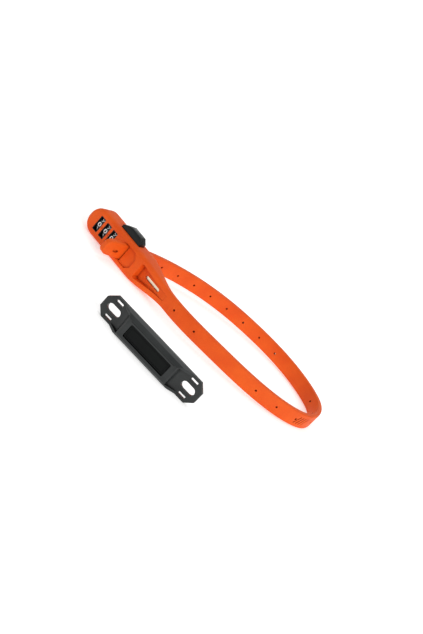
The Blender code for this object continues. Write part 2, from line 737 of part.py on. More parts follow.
def bracket_side(holder):
    """The bracket seen from its long edge: tabs, hollow ramps and raised body."""
    end, flat = BRACKET_LENGTH / 2 + 1 * MM, BODY_LENGTH / 2
    ramp = flat + RAMP_LENGTH
    rise = BODY_RISE - TAB_THICK
    steps = [i / 5 for i in range(6)]
    right = [(ramp - RAMP_LENGTH * t, -TAB_THICK - rise * (1 - cos(t * pi / 2))) for t in steps]
    left = [(-x, y) for x, y in reversed(right)]
    outline = [(end, 0.0), (end, -TAB_THICK)] + right + left + [(-end, -TAB_THICK), (-end, 0.0)]
    return prism("bracket_side_cutter", outline, "XY", -1 * MM, BRACKET_WIDTH + 1 * MM, None, holder)


def bracket_pad(holder):
    """Soft pad in the bracket's sunk panel, where the rolled-up strap lies."""
    mid = BRACKET_WIDTH / 2
    half_x, half_z = PANEL[0] / 2 - GAP, PANEL[1] / 2 - GAP
    floor = -BODY_RISE + PANEL_DEPTH - GAP
    low = (-half_x, floor - PAD_THICK, mid - half_z)
    return box("bracket_pad", low, (half_x, floor, mid + half_z), RUBBER, holder)


def main():
    round_parts = [front_shell(), back_cover(), reset_screw()]
    round_parts += [cover_screw(i + 1, x, z) for i, (x, z) in enumerate(SCREWS)]
    chassis()
    for number, x in enumerate(DIAL_X, 1):
        round_parts += dials(number, x)
    round_parts += [spindle(), core_rivet()]
    latch_pawl()
    release_button()
    detent_spring()
    helix("latch_spring", *LATCH_SPRING, 1.2 * MM, 3, 0.35 * MM, STEEL)
    helix("button_spring", *BUTTON_SPRING, 0.8 * MM, 4, 0.4 * MM, STEEL)
    strap()
    tail()
    holder = empty("bracket_place", (*BRACKET_AT, 0), (0, 0, BRACKET_TURN))
    bracket(holder)
    bracket_pad(holder)
    for obj in round_parts:
        smooth(obj)


main()
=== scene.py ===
# %% [markdown]
# # A strap combination lock and its frame bracket
# The lock is one flexible strap with a steel core. Its thick end is a head with three number
# wheels and a release button, and its thin end runs back through a slot in that head.
# The mechanism's solids are loaded first: they fix every size and every axis, and this
# script gives them their looks. What a hand or an eye reaches is modelled again in more
# detail, and what stays hidden keeps its solid and gets its metal.

# %% Load the frame
from math import cos, pi, radians, sin, sqrt

import bmesh
import bpy
from mathutils import Matrix, Vector


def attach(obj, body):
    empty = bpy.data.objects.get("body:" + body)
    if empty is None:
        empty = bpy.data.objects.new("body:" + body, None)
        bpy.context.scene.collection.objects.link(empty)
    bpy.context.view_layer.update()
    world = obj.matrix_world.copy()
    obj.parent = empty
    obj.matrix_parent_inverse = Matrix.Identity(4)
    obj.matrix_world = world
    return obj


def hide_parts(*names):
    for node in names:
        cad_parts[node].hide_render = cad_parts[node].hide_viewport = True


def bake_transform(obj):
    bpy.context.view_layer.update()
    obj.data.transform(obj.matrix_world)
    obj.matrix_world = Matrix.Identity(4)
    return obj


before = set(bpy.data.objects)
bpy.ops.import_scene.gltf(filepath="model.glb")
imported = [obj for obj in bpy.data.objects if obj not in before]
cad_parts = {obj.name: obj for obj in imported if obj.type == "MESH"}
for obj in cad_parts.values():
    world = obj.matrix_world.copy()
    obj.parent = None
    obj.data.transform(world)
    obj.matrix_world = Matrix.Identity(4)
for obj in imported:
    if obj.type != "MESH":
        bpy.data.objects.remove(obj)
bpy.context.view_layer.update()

MM = 0.001

# %% [markdown]
# ## Camera, floor and light
# The lock lies on its long edge and is seen from a little above with a long lens, so that
# the strap's far run is hardly smaller than the near one. The camera is rolled well over.
# A matrix built from three directions holds such a roll more plainly than Euler angles do:
# right and up are turned about the line of sight by the roll.

# %% Camera
TARGET = Vector((65.3, 64.5, 4.2)) * MM
AZIMUTH, ELEVATION, ROLL = radians(20.3), radians(18.0), radians(43.4)
DISTANCE = 700 * MM
LENS, SENSOR_WIDTH = 82.3, 36.0


def add_camera():
    back = Vector((sin(AZIMUTH) * cos(ELEVATION), -cos(AZIMUTH) * cos(ELEVATION), sin(ELEVATION)))
    right = Vector((cos(AZIMUTH), sin(AZIMUTH), 0))
    up = back.cross(right)
    x_axis = right * cos(ROLL) + up * sin(ROLL)
    y_axis = up * cos(ROLL) - right * sin(ROLL)
    data = bpy.data.cameras.new("camera")
    data.lens = LENS
    data.sensor_fit = "HORIZONTAL"
    data.sensor_width = SENSOR_WIDTH
    data.clip_start, data.clip_end = 0.01, 20.0
    camera = bpy.data.objects.new("camera", data)
    camera.matrix_world = Matrix.Translation(TARGET + back * DISTANCE) @ Matrix(
        (x_axis, y_axis, back)
    ).transposed().to_4x4()
    bpy.context.scene.collection.objects.link(camera)
    bpy.context.scene.camera = camera
    print("camera at mm:", [round(place / MM) for place in TARGET + back * DISTANCE])


add_camera()

# %% [markdown]
# A colour on a chart is an sRGB hex code, while Blender mixes light in linear values, so
# one function converts it. A material is a net of nodes. Written out, each node takes a
# line to add it and more for its settings and links, so one helper does all of that. A
# colour ramp keeps its stops in a list of its own, which the helper fills as well.

# %% Helpers for colours and nodes


def paint(code):
    """A colour written as sRGB hex, turned into the linear values that Blender works in."""
    parts = [int(code[i : i + 2], 16) / 255 for i in (1, 3, 5)]
    linear = [p / 12.92 if p <= 0.04045 else ((p + 0.055) / 1.055) ** 2.4 for p in parts]
    return (*linear, 1.0)


def node(tree, kind, settings=None, links=None):
    """Add a node, set its properties or sockets, and link its inputs to other outputs."""
    made = tree.nodes.new(kind)
    for key, value in (settings or {}).items():
        if key == "stops":
            for stop, (position, color) in zip(made.color_ramp.elements, value):
                stop.position, stop.color = position, color
        elif hasattr(made, key):
            setattr(made, key, value)
        else:
            made.inputs[key].default_value = value
    for key, output in (links or {}).items():
        tree.links.new(output, made.inputs[key])
    return made


print("mid grey as a linear value:", round(paint("#808080")[0], 3))

# %% [markdown]
# The lock lies on a white sheet that sweeps up behind it, so that no horizon shows. A plane
# would end in a hard line, so its far edge is spun upwards into a curve. The sheet glows a
# little, because white paper under these lamps would only reach a light grey.

# %% Floor
FLOOR_HALF_WIDTH, FLOOR_HALF_DEPTH, SWEEP_RADIUS = 6.0, 3.0, 1.0
FLOOR_DROP = 0.05 * MM
FLOOR_GLOW = 0.40


def add_floor():
    """A pale sheet, far wider than the view, that curves up a long way behind the lock."""
    bm = bmesh.new()
    bmesh.ops.create_grid(bm, x_segments=1, y_segments=1, size=1.0)
    bmesh.ops.scale(bm, vec=(FLOOR_HALF_WIDTH, FLOOR_HALF_DEPTH, 1.0), verts=bm.verts)
    far_edge = [e for e in bm.edges if all(v.co.y > 0 for v in e.verts)]
    center = (0, FLOOR_HALF_DEPTH, SWEEP_RADIUS)
    bmesh.ops.spin(bm, geom=far_edge, cent=center, axis=(1, 0, 0), angle=radians(80), steps=16)
    bmesh.ops.translate(bm, vec=(0, 0, -FLOOR_DROP), verts=bm.verts)
    bmesh.ops.recalc_face_normals(bm, faces=bm.faces)
    mesh = bpy.data.meshes.new("floor")
    bm.to_mesh(mesh)
    bm.free()
    mesh.shade_smooth()
    floor = bpy.data.objects.new("floor", mesh)
    bpy.context.scene.collection.objects.link(floor)
    sheet = bpy.data.materials.new("pale_studio_paper")
    sheet.use_nodes = True
    shader = sheet.node_tree.nodes["Principled BSDF"]
    shader.inputs["Base Color"].default_value = paint("#f6f6f5")
    shader.inputs["Roughness"].default_value = 0.9
    shader.inputs["Specular IOR Level"].default_value = 0.1
    shader.inputs["Emission Color"].default_value = paint("#ffffff")
    shader.inputs["Emission Strength"].default_value = FLOOR_GLOW
    mesh.materials.append(sheet)
    print("floor:", len(mesh.polygons), "faces")


add_floor()

# %% [markdown]
# Plastic of one strong colour shows its form only through soft gradients, so every lamp
# is a wide one. Area lamps near the lock would light the floor unevenly, so far sources
# with a wide angle are used. The key stands to the right, past the loop: it rakes along
# the dial face and falls full on the far run's inner side. The second comes from above
# and behind, and a bright world fills the rest.

# %% Lamps and world
WORLD_STRENGTH = 0.44


def add_lamp(name, toward, spread, strength):
    """A far, wide source: soft shadows, and the same light on the lock and on all the floor."""
    data = bpy.data.lights.new(name, "SUN")
    data.angle = radians(spread)
    data.energy = strength
    lamp = bpy.data.objects.new(name, data)
    lamp.rotation_euler = Vector(toward).to_track_quat("Z", "Y").to_euler()
    bpy.context.scene.collection.objects.link(lamp)
    print(f"{name} lamp: {spread} degrees wide, strength {strength}")


def add_world():
    world = bpy.data.worlds.new("white_tent")
    world.use_nodes = True
    world.node_tree.nodes["Background"].inputs["Color"].default_value = paint("#ffffff")
    world.node_tree.nodes["Background"].inputs["Strength"].default_value = WORLD_STRENGTH
    bpy.context.scene.world = world


add_lamp("key", (0.80, -0.45, 0.50), 40, 1.40)
add_lamp("top", (-0.20, 0.30, 0.90), 70, 0.75)
add_world()
bpy.context.scene.view_settings.view_transform = "Standard"

# %% [markdown]
# ## Materials
# **Orange overmould.** The strap and the casing are thermoplastic rubber moulded over
# steel and zinc. It is a satin plastic, a little translucent, so its shadows stay warm.
# Its mould was spark-eroded, which gives a very fine grain. Handling polishes it in
# patches, so colour and roughness drift over a centimetre or two.
# One flat colour would look like a drawing of plastic. Two noises are enough to cure that:
# a wide one for the drift, and a fine one for the grain, which is also the relief.
# Every pattern below reads Object coordinates, which are metres here: a scale is one
# divided by the real size of the feature.

# %% Start of every material


def start_material(name):
    material = bpy.data.materials.new(name)
    material.use_nodes = True
    tree = material.node_tree
    place = node(tree, "ShaderNodeTexCoord").outputs["Object"]
    return material, tree, tree.nodes["Principled BSDF"], place


# %% [markdown]
# Holes and inner corners get painted shade: a deeper colour where the surface is closed in,
# so shade is painted into the colour. Choosing those faces by hand would go wrong with the
# next change of shape. The Ambient Occlusion node measures how closed in a place is, and a
# ramp turns that into a tint that is multiplied into the colour.

# %% Painted shade in recesses
WHITE = (1.0, 1.0, 1.0, 1.0)
TINT = {"data_type": "RGBA", "blend_type": "MULTIPLY", "Factor": 1.0}


def darken_recesses(tree, shader, reach, dark, closed, open_face):
    """Painted shade: darken what is closed in; closed and open_face are the shares of free sky at the
    two ends.
    """
    settings = {"samples": 8, "only_local": True, "Distance": reach}
    sky = node(tree, "ShaderNodeAmbientOcclusion", settings)
    stops = ((closed, paint(dark)), (open_face, WHITE))
    shadow = node(tree, "ShaderNodeValToRGB", {"stops": stops}, {"Fac": sky.outputs["AO"]})
    base = shader.inputs["Base Color"]
    sources = {"A": base.links[0].from_socket, "B": shadow.outputs["Color"]}
    tinted = node(tree, "ShaderNodeMix", TINT, sources)
    tree.links.new(tinted.outputs["Result"], base)


# %% [markdown]
# The whole plastic in one function: the wide noise drives both the colour's drift and the
# gloss, because a polished patch is paler and shinier at once. The fine noise darkens the
# pores a little and raises the grain by a few hundredths of a millimetre.

# %% Moulded plastic
GRAIN_TINT = (0.93, 0.93, 0.93, 1.0)


def moulded(name, pale, deep, grain, rough, grain_depth, patch=14 * MM, extra=None, recess_shade=None):
    """Moulded plastic: colour that drifts in patches, an eroded grain, worn gloss."""
    material, tree, shader, place = start_material(name)
    cloud = node(tree, "ShaderNodeTexNoise", {"Scale": 1 / patch, "Detail": 3.0}, {"Vector": place})
    speck = node(tree, "ShaderNodeTexNoise", {"Scale": 1 / grain, "Detail": 2.0}, {"Vector": place})
    drift = ((0.35, paint(deep)), (0.65, paint(pale)))
    color = node(tree, "ShaderNodeValToRGB", {"stops": drift}, {"Fac": cloud.outputs["Fac"]})
    pores = ((0.3, GRAIN_TINT), (0.7, WHITE))
    fine = node(tree, "ShaderNodeValToRGB", {"stops": pores}, {"Fac": speck.outputs["Fac"]})
    sources = {"A": color.outputs["Color"], "B": fine.outputs["Color"]}
    mixed = node(tree, "ShaderNodeMix", TINT, sources)
    gloss = node(
        tree,
        "ShaderNodeMapRange",
        {"To Min": rough - 0.06, "To Max": rough + 0.08},
        {"Value": cloud.outputs["Fac"]},
    )
    relief = node(
        tree,
        "ShaderNodeBump",
        {"Strength": 0.5, "Distance": grain_depth},
        {"Height": speck.outputs["Fac"]},
    )
    tree.links.new(mixed.outputs["Result"], shader.inputs["Base Color"])
    tree.links.new(gloss.outputs["Result"], shader.inputs["Roughness"])
    tree.links.new(relief.outputs["Normal"], shader.inputs["Normal"])
    for socket, value in (extra or {}).items():
        shader.inputs[socket].default_value = value
    # Painted shade: the colour is darkened where the surface is closed in.
    if recess_shade:
        darken_recesses(tree, shader, *recess_shade)
    return material


# %% [markdown]
# Now the plastics of this lock, each named for what it is and how it was made: a pale and
# a deep tone, the size of its grain, its roughness, and the depth of the grain.

# %% The lock's plastics
# Light enters the rubber a little way, the red part furthest, and this warms its shadows.
TRANSLUCENT = {
    "Specular IOR Level": 0.18,
    "Subsurface Weight": 0.08,
    "Subsurface Radius": (1.0, 0.35, 0.15),
    "Subsurface Scale": 1.2 * MM,
}
# Thermoplastic rubber over steel: satin, its grain drawn at 0.5 mm so that it can be seen.
OVERMOULD = moulded(
    "thermoplastic_rubber", "#ea5e17", "#e25413", 0.5 * MM, 0.52, 0.03 * MM,
    # the last tuple is painted shade in the rubber's pockets and slots: reach, shade colour and the two
    # sky shares
    extra=TRANSLUCENT, recess_shade=(2.5 * MM, "#a06868", 0.25, 0.85),
)
# Black nylon with glass fibre: the fibres grey it a little and keep it from shining.
NYLON = moulded(
    "glass_filled_nylon", "#292c2c", "#1f2222", 0.6 * MM, 0.36, 0.05 * MM,
    # the last tuple is strong painted shade in the nylon's scoops, slots and panel: reach, shade colour
    # and the two sky shares
    extra={"Specular IOR Level": 0.38}, recess_shade=(10 * MM, "#303030", 0.55, 0.97),
)
# Polished ABS for the button: nearly black with a cold, greenish gloss.
BUTTON_ABS = moulded(
    "satin_abs", "#0f1615", "#0a0f0e", 0.9 * MM, 0.30, 0.01 * MM,
    extra={"Specular IOR Level": 0.26},
)
# Acetal code wheels: self-lubricating, glossy and black.
ACETAL = moulded("acetal_code_wheel", "#111215", "#0a0b0d", 0.8 * MM, 0.28, 0.01 * MM)
# The digits are filled with white paint, slightly uneven where the filling was wiped.
DIGIT_PAINT = moulded("wiped_white_paint", "#fbfdfd", "#eef2f3", 0.4 * MM, 0.5, 0.01 * MM, 2 * MM)
# ABS of the window frames: matt black, so that the windows read as dark openings.
FRAME_ABS = moulded("matt_black_abs", "#0d0e10", "#08090a", 0.7 * MM, 0.55, 0.02 * MM)
# Nitrile rubber pad: matt and darker than the nylon round it.
PAD_RUBBER = moulded(
    "nitrile_rubber", "#0f1211", "#0a0c0c", 0.7 * MM, 0.72, 0.06 * MM,
    extra={"Specular IOR Level": 0.16},
)
print("plastics:", [material.name for material in bpy.data.materials])

# %% [markdown]
# **Metals.** Each metal is known by how its surface was made. The core is rolled strip,
# brushed along its length. Die-cast zinc is dull and slightly pitted. Brass hubs and
# steel pins are turned, which leaves rings round their axis. A scratch texture would need an
# image and a UV map; noise that is squeezed along one direction gives both kinds of line.

# %% Metals
WEAR_PATCH = 6 * MM


def metal(name, pale, deep, stretch, rough, depth):
    """Bare metal with lines: stretch is the pattern's size in mm along X, Y and Z."""
    material, tree, shader, place = start_material(name)
    scale = tuple(1 / (size * MM) for size in stretch)
    squeezed = node(tree, "ShaderNodeMapping", {"Scale": scale}, {"Vector": place})
    stretched = squeezed.outputs["Vector"]
    lines = node(tree, "ShaderNodeTexNoise", {"Scale": 1.0, "Detail": 4.0}, {"Vector": stretched})
    cloud = node(tree, "ShaderNodeTexNoise", {"Scale": 1 / WEAR_PATCH}, {"Vector": place})
    tones = ((0.3, paint(deep)), (0.7, paint(pale)))
    color = node(tree, "ShaderNodeValToRGB", {"stops": tones}, {"Fac": lines.outputs["Fac"]})
    gloss = node(
        tree,
        "ShaderNodeMapRange",
        {"To Min": rough - 0.08, "To Max": rough + 0.12},
        {"Value": cloud.outputs["Fac"]},
    )
    relief = node(
        tree, "ShaderNodeBump", {"Strength": 0.4, "Distance": depth}, {"Height": lines.outputs["Fac"]}
    )
    shader.inputs["Metallic"].default_value = 1.0
    tree.links.new(color.outputs["Color"], shader.inputs["Base Color"])
    tree.links.new(gloss.outputs["Result"], shader.inputs["Roughness"])
    tree.links.new(relief.outputs["Normal"], shader.inputs["Normal"])
    return material


# Rolled stainless strip, brushed along the strap; its colour is painted warm all over, a painted
# reflection of the orange round it.
STRIP_STEEL = metal("rolled_stainless_strip", "#efe5cf", "#cfc3ab", (12.0, 0.3, 0.3), 0.30, 0.01 * MM)
# Die-cast zinc: dull grey with the mould's slight pitting.
CAST_ZINC = metal("die_cast_zinc", "#9a9c9e", "#7e8082", (0.9, 0.9, 0.9), 0.48, 0.04 * MM)
# Turned brass: rings round the dial axis.
TURNED_BRASS = metal("turned_brass", "#d9b26a", "#b98f49", (0.3, 8.0, 8.0), 0.30, 0.01 * MM)
# Ground steel for the spindle and the pawl: bright, lines across the axis.
GROUND_STEEL = metal("ground_steel", "#d6d5d2", "#b9b8b5", (0.3, 5.0, 5.0), 0.26, 0.01 * MM)
# Spring steel: tempered, so a shade darker.
SPRING_STEEL = metal("tempered_spring_steel", "#a9a7a3", "#8b8985", (3.0, 0.4, 0.4), 0.30, 0.01 * MM)
# Zinc-plated screws with the fine rings of the lathe, seen from their ends.
PLATED_STEEL = metal("zinc_plated_steel", "#c9ccd0", "#a8abb0", (1.5, 0.3, 1.5), 0.32, 0.01 * MM)
print("materials with the metals:", len(bpy.data.materials))

# %% [markdown]
# ## Shapes
# Most pieces here start as a flat outline or as a section pushed along a line, and are
# then cut by simple shapes, much as a milling cutter would. Small helpers do this: one makes
# the object, one carves with exact Booleans and applies them. Boolean modifiers could stay
# live, but a finished mesh can be measured, bent and rounded by what comes after.

# %% Helpers for objects


def finished(name, bm, material=None):
    """Turn a bmesh into an object at the origin; without a material it is only a tool."""
    bmesh.ops.recalc_face_normals(bm, faces=bm.faces)
    mesh = bpy.data.meshes.new(name)
    bm.to_mesh(mesh)
    bm.free()
    obj = bpy.data.objects.new(name, mesh)
    bpy.context.scene.collection.objects.link(obj)
    if material:
        mesh.materials.append(material)
    return obj


def settle(obj):
    """Apply the object's modifiers, so that its mesh is the finished one."""
    graph = bpy.context.evaluated_depsgraph_get()
    shape = bpy.data.meshes.new_from_object(obj.evaluated_get(graph))
    obj.modifiers.clear()
    obj.data = shape


def carve(obj, tools, operation="DIFFERENCE"):
    """Cut each tool out of the object, or keep or add what it shares, and clear the tools."""
    for tool in tools:
        cut = obj.modifiers.new("carved", "BOOLEAN")
        cut.solver = "EXACT"
        cut.operation = operation
        cut.object = tool
    settle(obj)
    for tool in tools:
        bpy.data.objects.remove(tool)


# %% [markdown]
# No moulded or turned edge is quite sharp, and the narrow round on it is what catches the
# light. A bevel limited by angle finds those edges by itself. Broad faces stay flat to the
# eye when only the edges below the same angle are shaded smooth. The last helper prints
# each piece's size as it is made.

# %% Helpers for edges and sizes


def soften(obj, width, corner=35, segments=2):
    """Round every edge sharper than the corner, and shade the faces between them smooth."""
    edge = obj.modifiers.new("softened", "BEVEL")
    edge.width = width
    edge.segments = segments
    edge.limit_method = "ANGLE"
    edge.angle_limit = radians(corner)
    settle(obj)
    shade(obj, corner)


def shade(obj, corner=35):
    obj.data.shade_smooth()
    obj.data.set_sharp_from_angle(angle=radians(corner))


def extent(mesh):
    """The lowest and the highest corner of a mesh."""
    corners = [vert.co for vert in mesh.vertices]
    return [Vector(pick(c[i] for c in corners) for i in range(3)) for pick in (min, max)]


def measure(*pieces):
    for piece in pieces:
        low, high = extent(piece.data)
        sides = [round(side / MM, 1) for side in high - low]
        print(f"{piece.name}: {len(piece.data.polygons)} faces, {sides} mm")


# %% [markdown]
# Three kinds of solid are enough for this lock: a box, a round rod, and a flat outline that
# is grown into a slab. The slab can widen or narrow towards its low end, for draft.

# %% Helpers for solids


def block(low, high):
    """A box between two corners."""
    bm = bmesh.new()
    low, high = Vector(low), Vector(high)
    verts = bmesh.ops.create_cube(bm, size=1.0)["verts"]
    bmesh.ops.scale(bm, vec=high - low, verts=verts)
    bmesh.ops.translate(bm, vec=(low + high) / 2, verts=verts)
    return bm


def edges_along_y(bm):
    """The edges of an unturned block that run through it from its face to its back."""
    return [e for e in bm.edges if abs(e.verts[0].co.y - e.verts[1].co.y) > 0.1 * MM]


def round_corners(bm, edges, radius, segments=8):
    bmesh.ops.bevel(
        bm, geom=edges, affect="EDGES", offset=radius, segments=segments, profile=0.5, material=-1
    )


def rod(center, direction, radius, length, segments=32, bm=None):
    """A cylinder centred on a point and lying along a direction."""
    bm = bm or bmesh.new()
    turn = Vector((0, 0, 1)).rotation_difference(Vector(direction)).to_matrix().to_4x4()
    bmesh.ops.create_cone(
        bm,
        cap_ends=True,
        segments=segments,
        radius1=radius,
        radius2=radius,
        depth=length,
        matrix=Matrix.Translation(center) @ turn,
    )
    return bm


def slab(outline, low, high, to_space, flare=1.0):
    """A flat outline (a, b) grown from low to high; flare widens or narrows its low end."""
    bm = bmesh.new()
    ring = [bm.verts.new(to_space(a, b, high)) for a, b in outline]
    face = bm.faces.new(ring)
    middle = face.calc_center_bounds()
    grown = bmesh.ops.extrude_face_region(bm, geom=[face])["geom"]
    verts = [v for v in grown if isinstance(v, bmesh.types.BMVert)]
    push = Vector(to_space(0, 0, low)) - Vector(to_space(0, 0, high))
    bmesh.ops.translate(bm, vec=push, verts=verts)
    bmesh.ops.scale(bm, vec=(flare,) * 3, space=Matrix.Translation(-(middle + push)), verts=verts)
    return bm


# %% [markdown]
# An outline is a list of places in a plane, and a small function says which plane of the
# lock it is drawn in. Rounds are arcs worked out from a radius, so that a corner can be
# made rounder by changing one value.

# %% Helpers for outlines


def seen_from_face(a, b, depth):
    """Outline in X and Z, grown along Y."""
    return (a, depth, b)


def seen_from_side(a, b, depth):
    """Outline in X and Y, grown along Z."""
    return (a, b, depth)


def arc(center, radius, start, end, steps):
    """Points on a circle between two angles in degrees."""
    angles = [radians(start + (end - start) * i / steps) for i in range(steps + 1)]
    return [(center[0] + radius * cos(t), center[1] + radius * sin(t)) for t in angles]


def rounded(half_a, half_b, radius, steps=5, back=None):
    """A rectangle with round corners, as one ring of points; back is the radius on its -a side."""
    ring = []
    for a, b, start in ((1, 1, 0), (-1, 1, 90), (-1, -1, 180), (1, -1, 270)):
        r = radius if back is None or a > 0 else back
        ring += arc((a * (half_a - r), b * (half_b - r)), r, start, start + 90, steps)
    return ring


print("places round a rounded rectangle:", len(rounded(2 * MM, 1 * MM, 0.5 * MM)))

# %% [markdown]
# ## The route of the strap
# The strap leaves the neck, swings round in a wide loop and comes back through the slot
# from behind. It stands on its edge, so the route needs only a heading at each knot. Arcs
# and straight stretches would change their bend with a jump, which a shiny strap shows. A
# cubic between two knots takes both headings and bends about as evenly as a steel core.

# %% Knots of the route
MID_Z = 10.2 * MM
# Each knot: X, Y and Z in mm, and the heading in degrees.
LOOP = [
    (60.3, 0.0, 10.2, 1),
    (102.4, 11.7, 8.9, 22.5),
    (150.0, 39.9, 7.0, 45),
    (167.0, 76.0, 6.1, 95),
    (150.5, 108.7, 6.3, 150),
    (119.0, 116.2, 7.0, 182.5),
    (70.2, 98.9, 8.6, 212),
    (34.4, 61.0, 9.8, 239.5),
    (14.5, 8.6, 10.2, 260),
]
APEX = 5
STEPS_PER_SPAN = 14
print("knots of the route:", len(LOOP))

# %% [markdown]
# Each span between two knots becomes a short run of points. Further on, pits and grooves
# need the place and the heading at some distance along the strap, and walk finds them.

# %% From knots to points


def knot(index):
    return Vector(LOOP[index][:3]) * MM


def knot_slope(index, length):
    """The direction through a knot, as long as the span beside it."""
    before, after = max(index - 1, 0), min(index + 1, len(LOOP) - 1)
    climb = (LOOP[after][2] - LOOP[before][2]) * MM / (knot(after) - knot(before)).length
    heading = radians(LOOP[index][3])
    return Vector((cos(heading), sin(heading), climb)) * length


def span_points(i):
    """Points of the cubic from one knot to just before the next."""
    start, end = knot(i), knot(i + 1)
    bend = abs(radians(LOOP[i + 1][3] - LOOP[i][3]))
    # An arc is longer than its chord by about the square of its bend over 24.
    length = (end - start).length * (1 + bend * bend / 24)
    leave, arrive = knot_slope(i, length), knot_slope(i + 1, length)
    points = []
    for t in (k / STEPS_PER_SPAN for k in range(STEPS_PER_SPAN)):
        bulge = (2 * t**3 - 3 * t**2 + 1) * start + (3 * t**2 - 2 * t**3) * end
        points.append(bulge + (t**3 - 2 * t**2 + t) * leave + (t**3 - t**2) * arrive)
    return points


def route(first, last):
    points = [p for i in range(first, last) for p in span_points(i)]
    return points + [knot(last)]


def walk(points, distance):
    """The place and the heading that far along a run of points."""
    for start, end in zip(points, points[1:]):
        step = (end - start).length
        if distance <= step or end is points[-1]:
            return start + (end - start) * (distance / step), (end - start).normalized()
        distance -= step


def run_length(points):
    return sum((b - a).length for a, b in zip(points, points[1:]))


near_run, far_run = route(0, APEX), route(APEX, len(LOOP) - 1)
print("strap runs in mm:", round(run_length(near_run) / MM), round(run_length(far_run) / MM))

# %% [markdown]
# The strap could be a curve with a bevel, but a bevel keeps one section all the way, and the
# neck and the tip change theirs. So a section is extruded by its edges from station to
# station. A station is one place on the line with the half depth, half width and corner
# radius there. Each vertex carries its number in the ring as a layer, which the extrusion
# copies, so the new ring knows where every point belongs.

# %% Sections pushed along a line
UP = Vector((0, 0, 1))


def ring_at(station, steps):
    """The places of one section; a second radius rounds the corners on its back side."""
    point, along, half_a, half_b, *radii = station
    side = along.cross(UP).normalized()
    ring = rounded(half_a, half_b, radii[0], steps, radii[-1])
    return [point + side * a + UP * b for a, b in ring]


def sweep(stations, steps=5):
    """A closed skin through all the stations."""
    bm = bmesh.new()
    order = bm.verts.layers.int.new("order")
    first = [bm.verts.new(place) for place in ring_at(stations[0], steps)]
    for number, vert in enumerate(first):
        vert[order] = number
    start_cap = bm.faces.new(first)
    edges = list(start_cap.edges)
    for station in stations[1:]:
        grown = bmesh.ops.extrude_edge_only(bm, edges=edges)["geom"]
        places = ring_at(station, steps)
        edges = [e for e in grown if isinstance(e, bmesh.types.BMEdge)]
        verts = [v for v in grown if isinstance(v, bmesh.types.BMVert)]
        for vert in verts:
            vert.co = places[vert[order]]
    bm.faces.new(sorted(verts, key=lambda vert: vert[order]))
    return bm


def headings(points):
    """The direction at each point, from its neighbours."""
    last = len(points) - 1
    return [(points[min(i + 1, last)] - points[max(i - 1, 0)]).normalized() for i in range(last + 1)]


def along_line(line, section):
    """One station at each point of a line, all with the same section."""
    return [(point, along, *section) for point, along in zip(line, headings(line))]


print("sections along the near and the far run:", len(near_run), len(far_run))

# %% [markdown]
# ## Head, neck and near run
# On the real lock these are one moulding, so they are one skin here: a flat-sided casing
# with a rounded end, a neck that narrows in an S-shaped curve, and the strap. Making them
# in one sweep leaves no seam where the neck turns into the strap.

# %% Outer form of the head and the near run
HEAD_START, HEAD_END, NECK_END = -25.5 * MM, 25.0 * MM, 60.0 * MM
HALF_WIDTH, HALF_DEPTH = 10.2 * MM, 7.5 * MM
END_RADIUS = 9.8 * MM
FACE_RADIUS, BACK_RADIUS = 3.2 * MM, 1.4 * MM
STRAP_HALF_WIDTH, STRAP_HALF_THICK, STRAP_ROUND = 6.0 * MM, 2.0 * MM, 0.9 * MM
STRAP_SECTION = (STRAP_HALF_THICK, STRAP_HALF_WIDTH, STRAP_ROUND)
FACE_Y, BACK_Y = -HALF_DEPTH, HALF_DEPTH
# Where a section gets narrow, a corner's radius is at most this share of its half width.
CORNER_SHARE = 0.6


def ease(t):
    """One at t = 0, nothing at t = 1, level at both ends."""
    return (1 - t) ** 2 * (1 + 2 * t)


def head_station(x):
    """Section of the casing and the neck at a place along the head."""
    width, depth, face, back = HALF_WIDTH, HALF_DEPTH, FACE_RADIUS, BACK_RADIUS
    shift = 0.0
    into = x - HEAD_START
    if into < END_RADIUS:
        width += sqrt(END_RADIUS**2 - (END_RADIUS - into) ** 2) - END_RADIUS
    if into < FACE_RADIUS:
        # The face edge is rounded more than the back edge, so the section's middle moves back.
        cut_face = FACE_RADIUS - sqrt(FACE_RADIUS**2 - (FACE_RADIUS - into) ** 2)
        short = max(BACK_RADIUS - into, 0.0)
        cut_back = BACK_RADIUS - sqrt(BACK_RADIUS**2 - short**2)
        depth -= (cut_face + cut_back) / 2
        shift = (cut_face - cut_back) / 2
        face = min(face, width * CORNER_SHARE)
        back = min(back, width * CORNER_SHARE)
    if x > HEAD_END:
        share = ease(min((x - HEAD_END) / (NECK_END - HEAD_END), 1.0))
        width = STRAP_HALF_WIDTH + (HALF_WIDTH - STRAP_HALF_WIDTH) * share
        depth = STRAP_HALF_THICK + (HALF_DEPTH - STRAP_HALF_THICK) * share
        face = STRAP_ROUND + (FACE_RADIUS - STRAP_ROUND) * share
        back = STRAP_ROUND + (BACK_RADIUS - STRAP_ROUND) * share
    return (Vector((x, shift, MID_Z)), Vector((1, 0, 0)), depth, width, face, back)


for x in (-20, 0, 40, 60):
    print(f"width at {x} mm:", round(2 * head_station(x * MM)[3] / MM, 1), "mm")

# %% [markdown]
# The stations follow each other from the casing's end to the top of the loop. They stand
# close together where the outline turns, and far apart where it is straight.

# %% The skin of head and near run
TURN_STEPS, NECK_STEPS = 18, 20
CASING_PLACES = [-8 * MM, 8 * MM, 18 * MM]
HAIR, OVERLAP = 0.02 * MM, 2.5 * MM


def head_places():
    """Closely spaced round the casing's end, then along the neck."""
    turn_angles = [pi / 2 * k / TURN_STEPS for k in range(TURN_STEPS + 1)]
    turn = [HEAD_START + END_RADIUS * (1 - cos(angle)) for angle in turn_angles]
    neck = [HEAD_END + (NECK_END - HEAD_END) * k / NECK_STEPS for k in range(NECK_STEPS + 1)]
    return turn + CASING_PLACES + neck


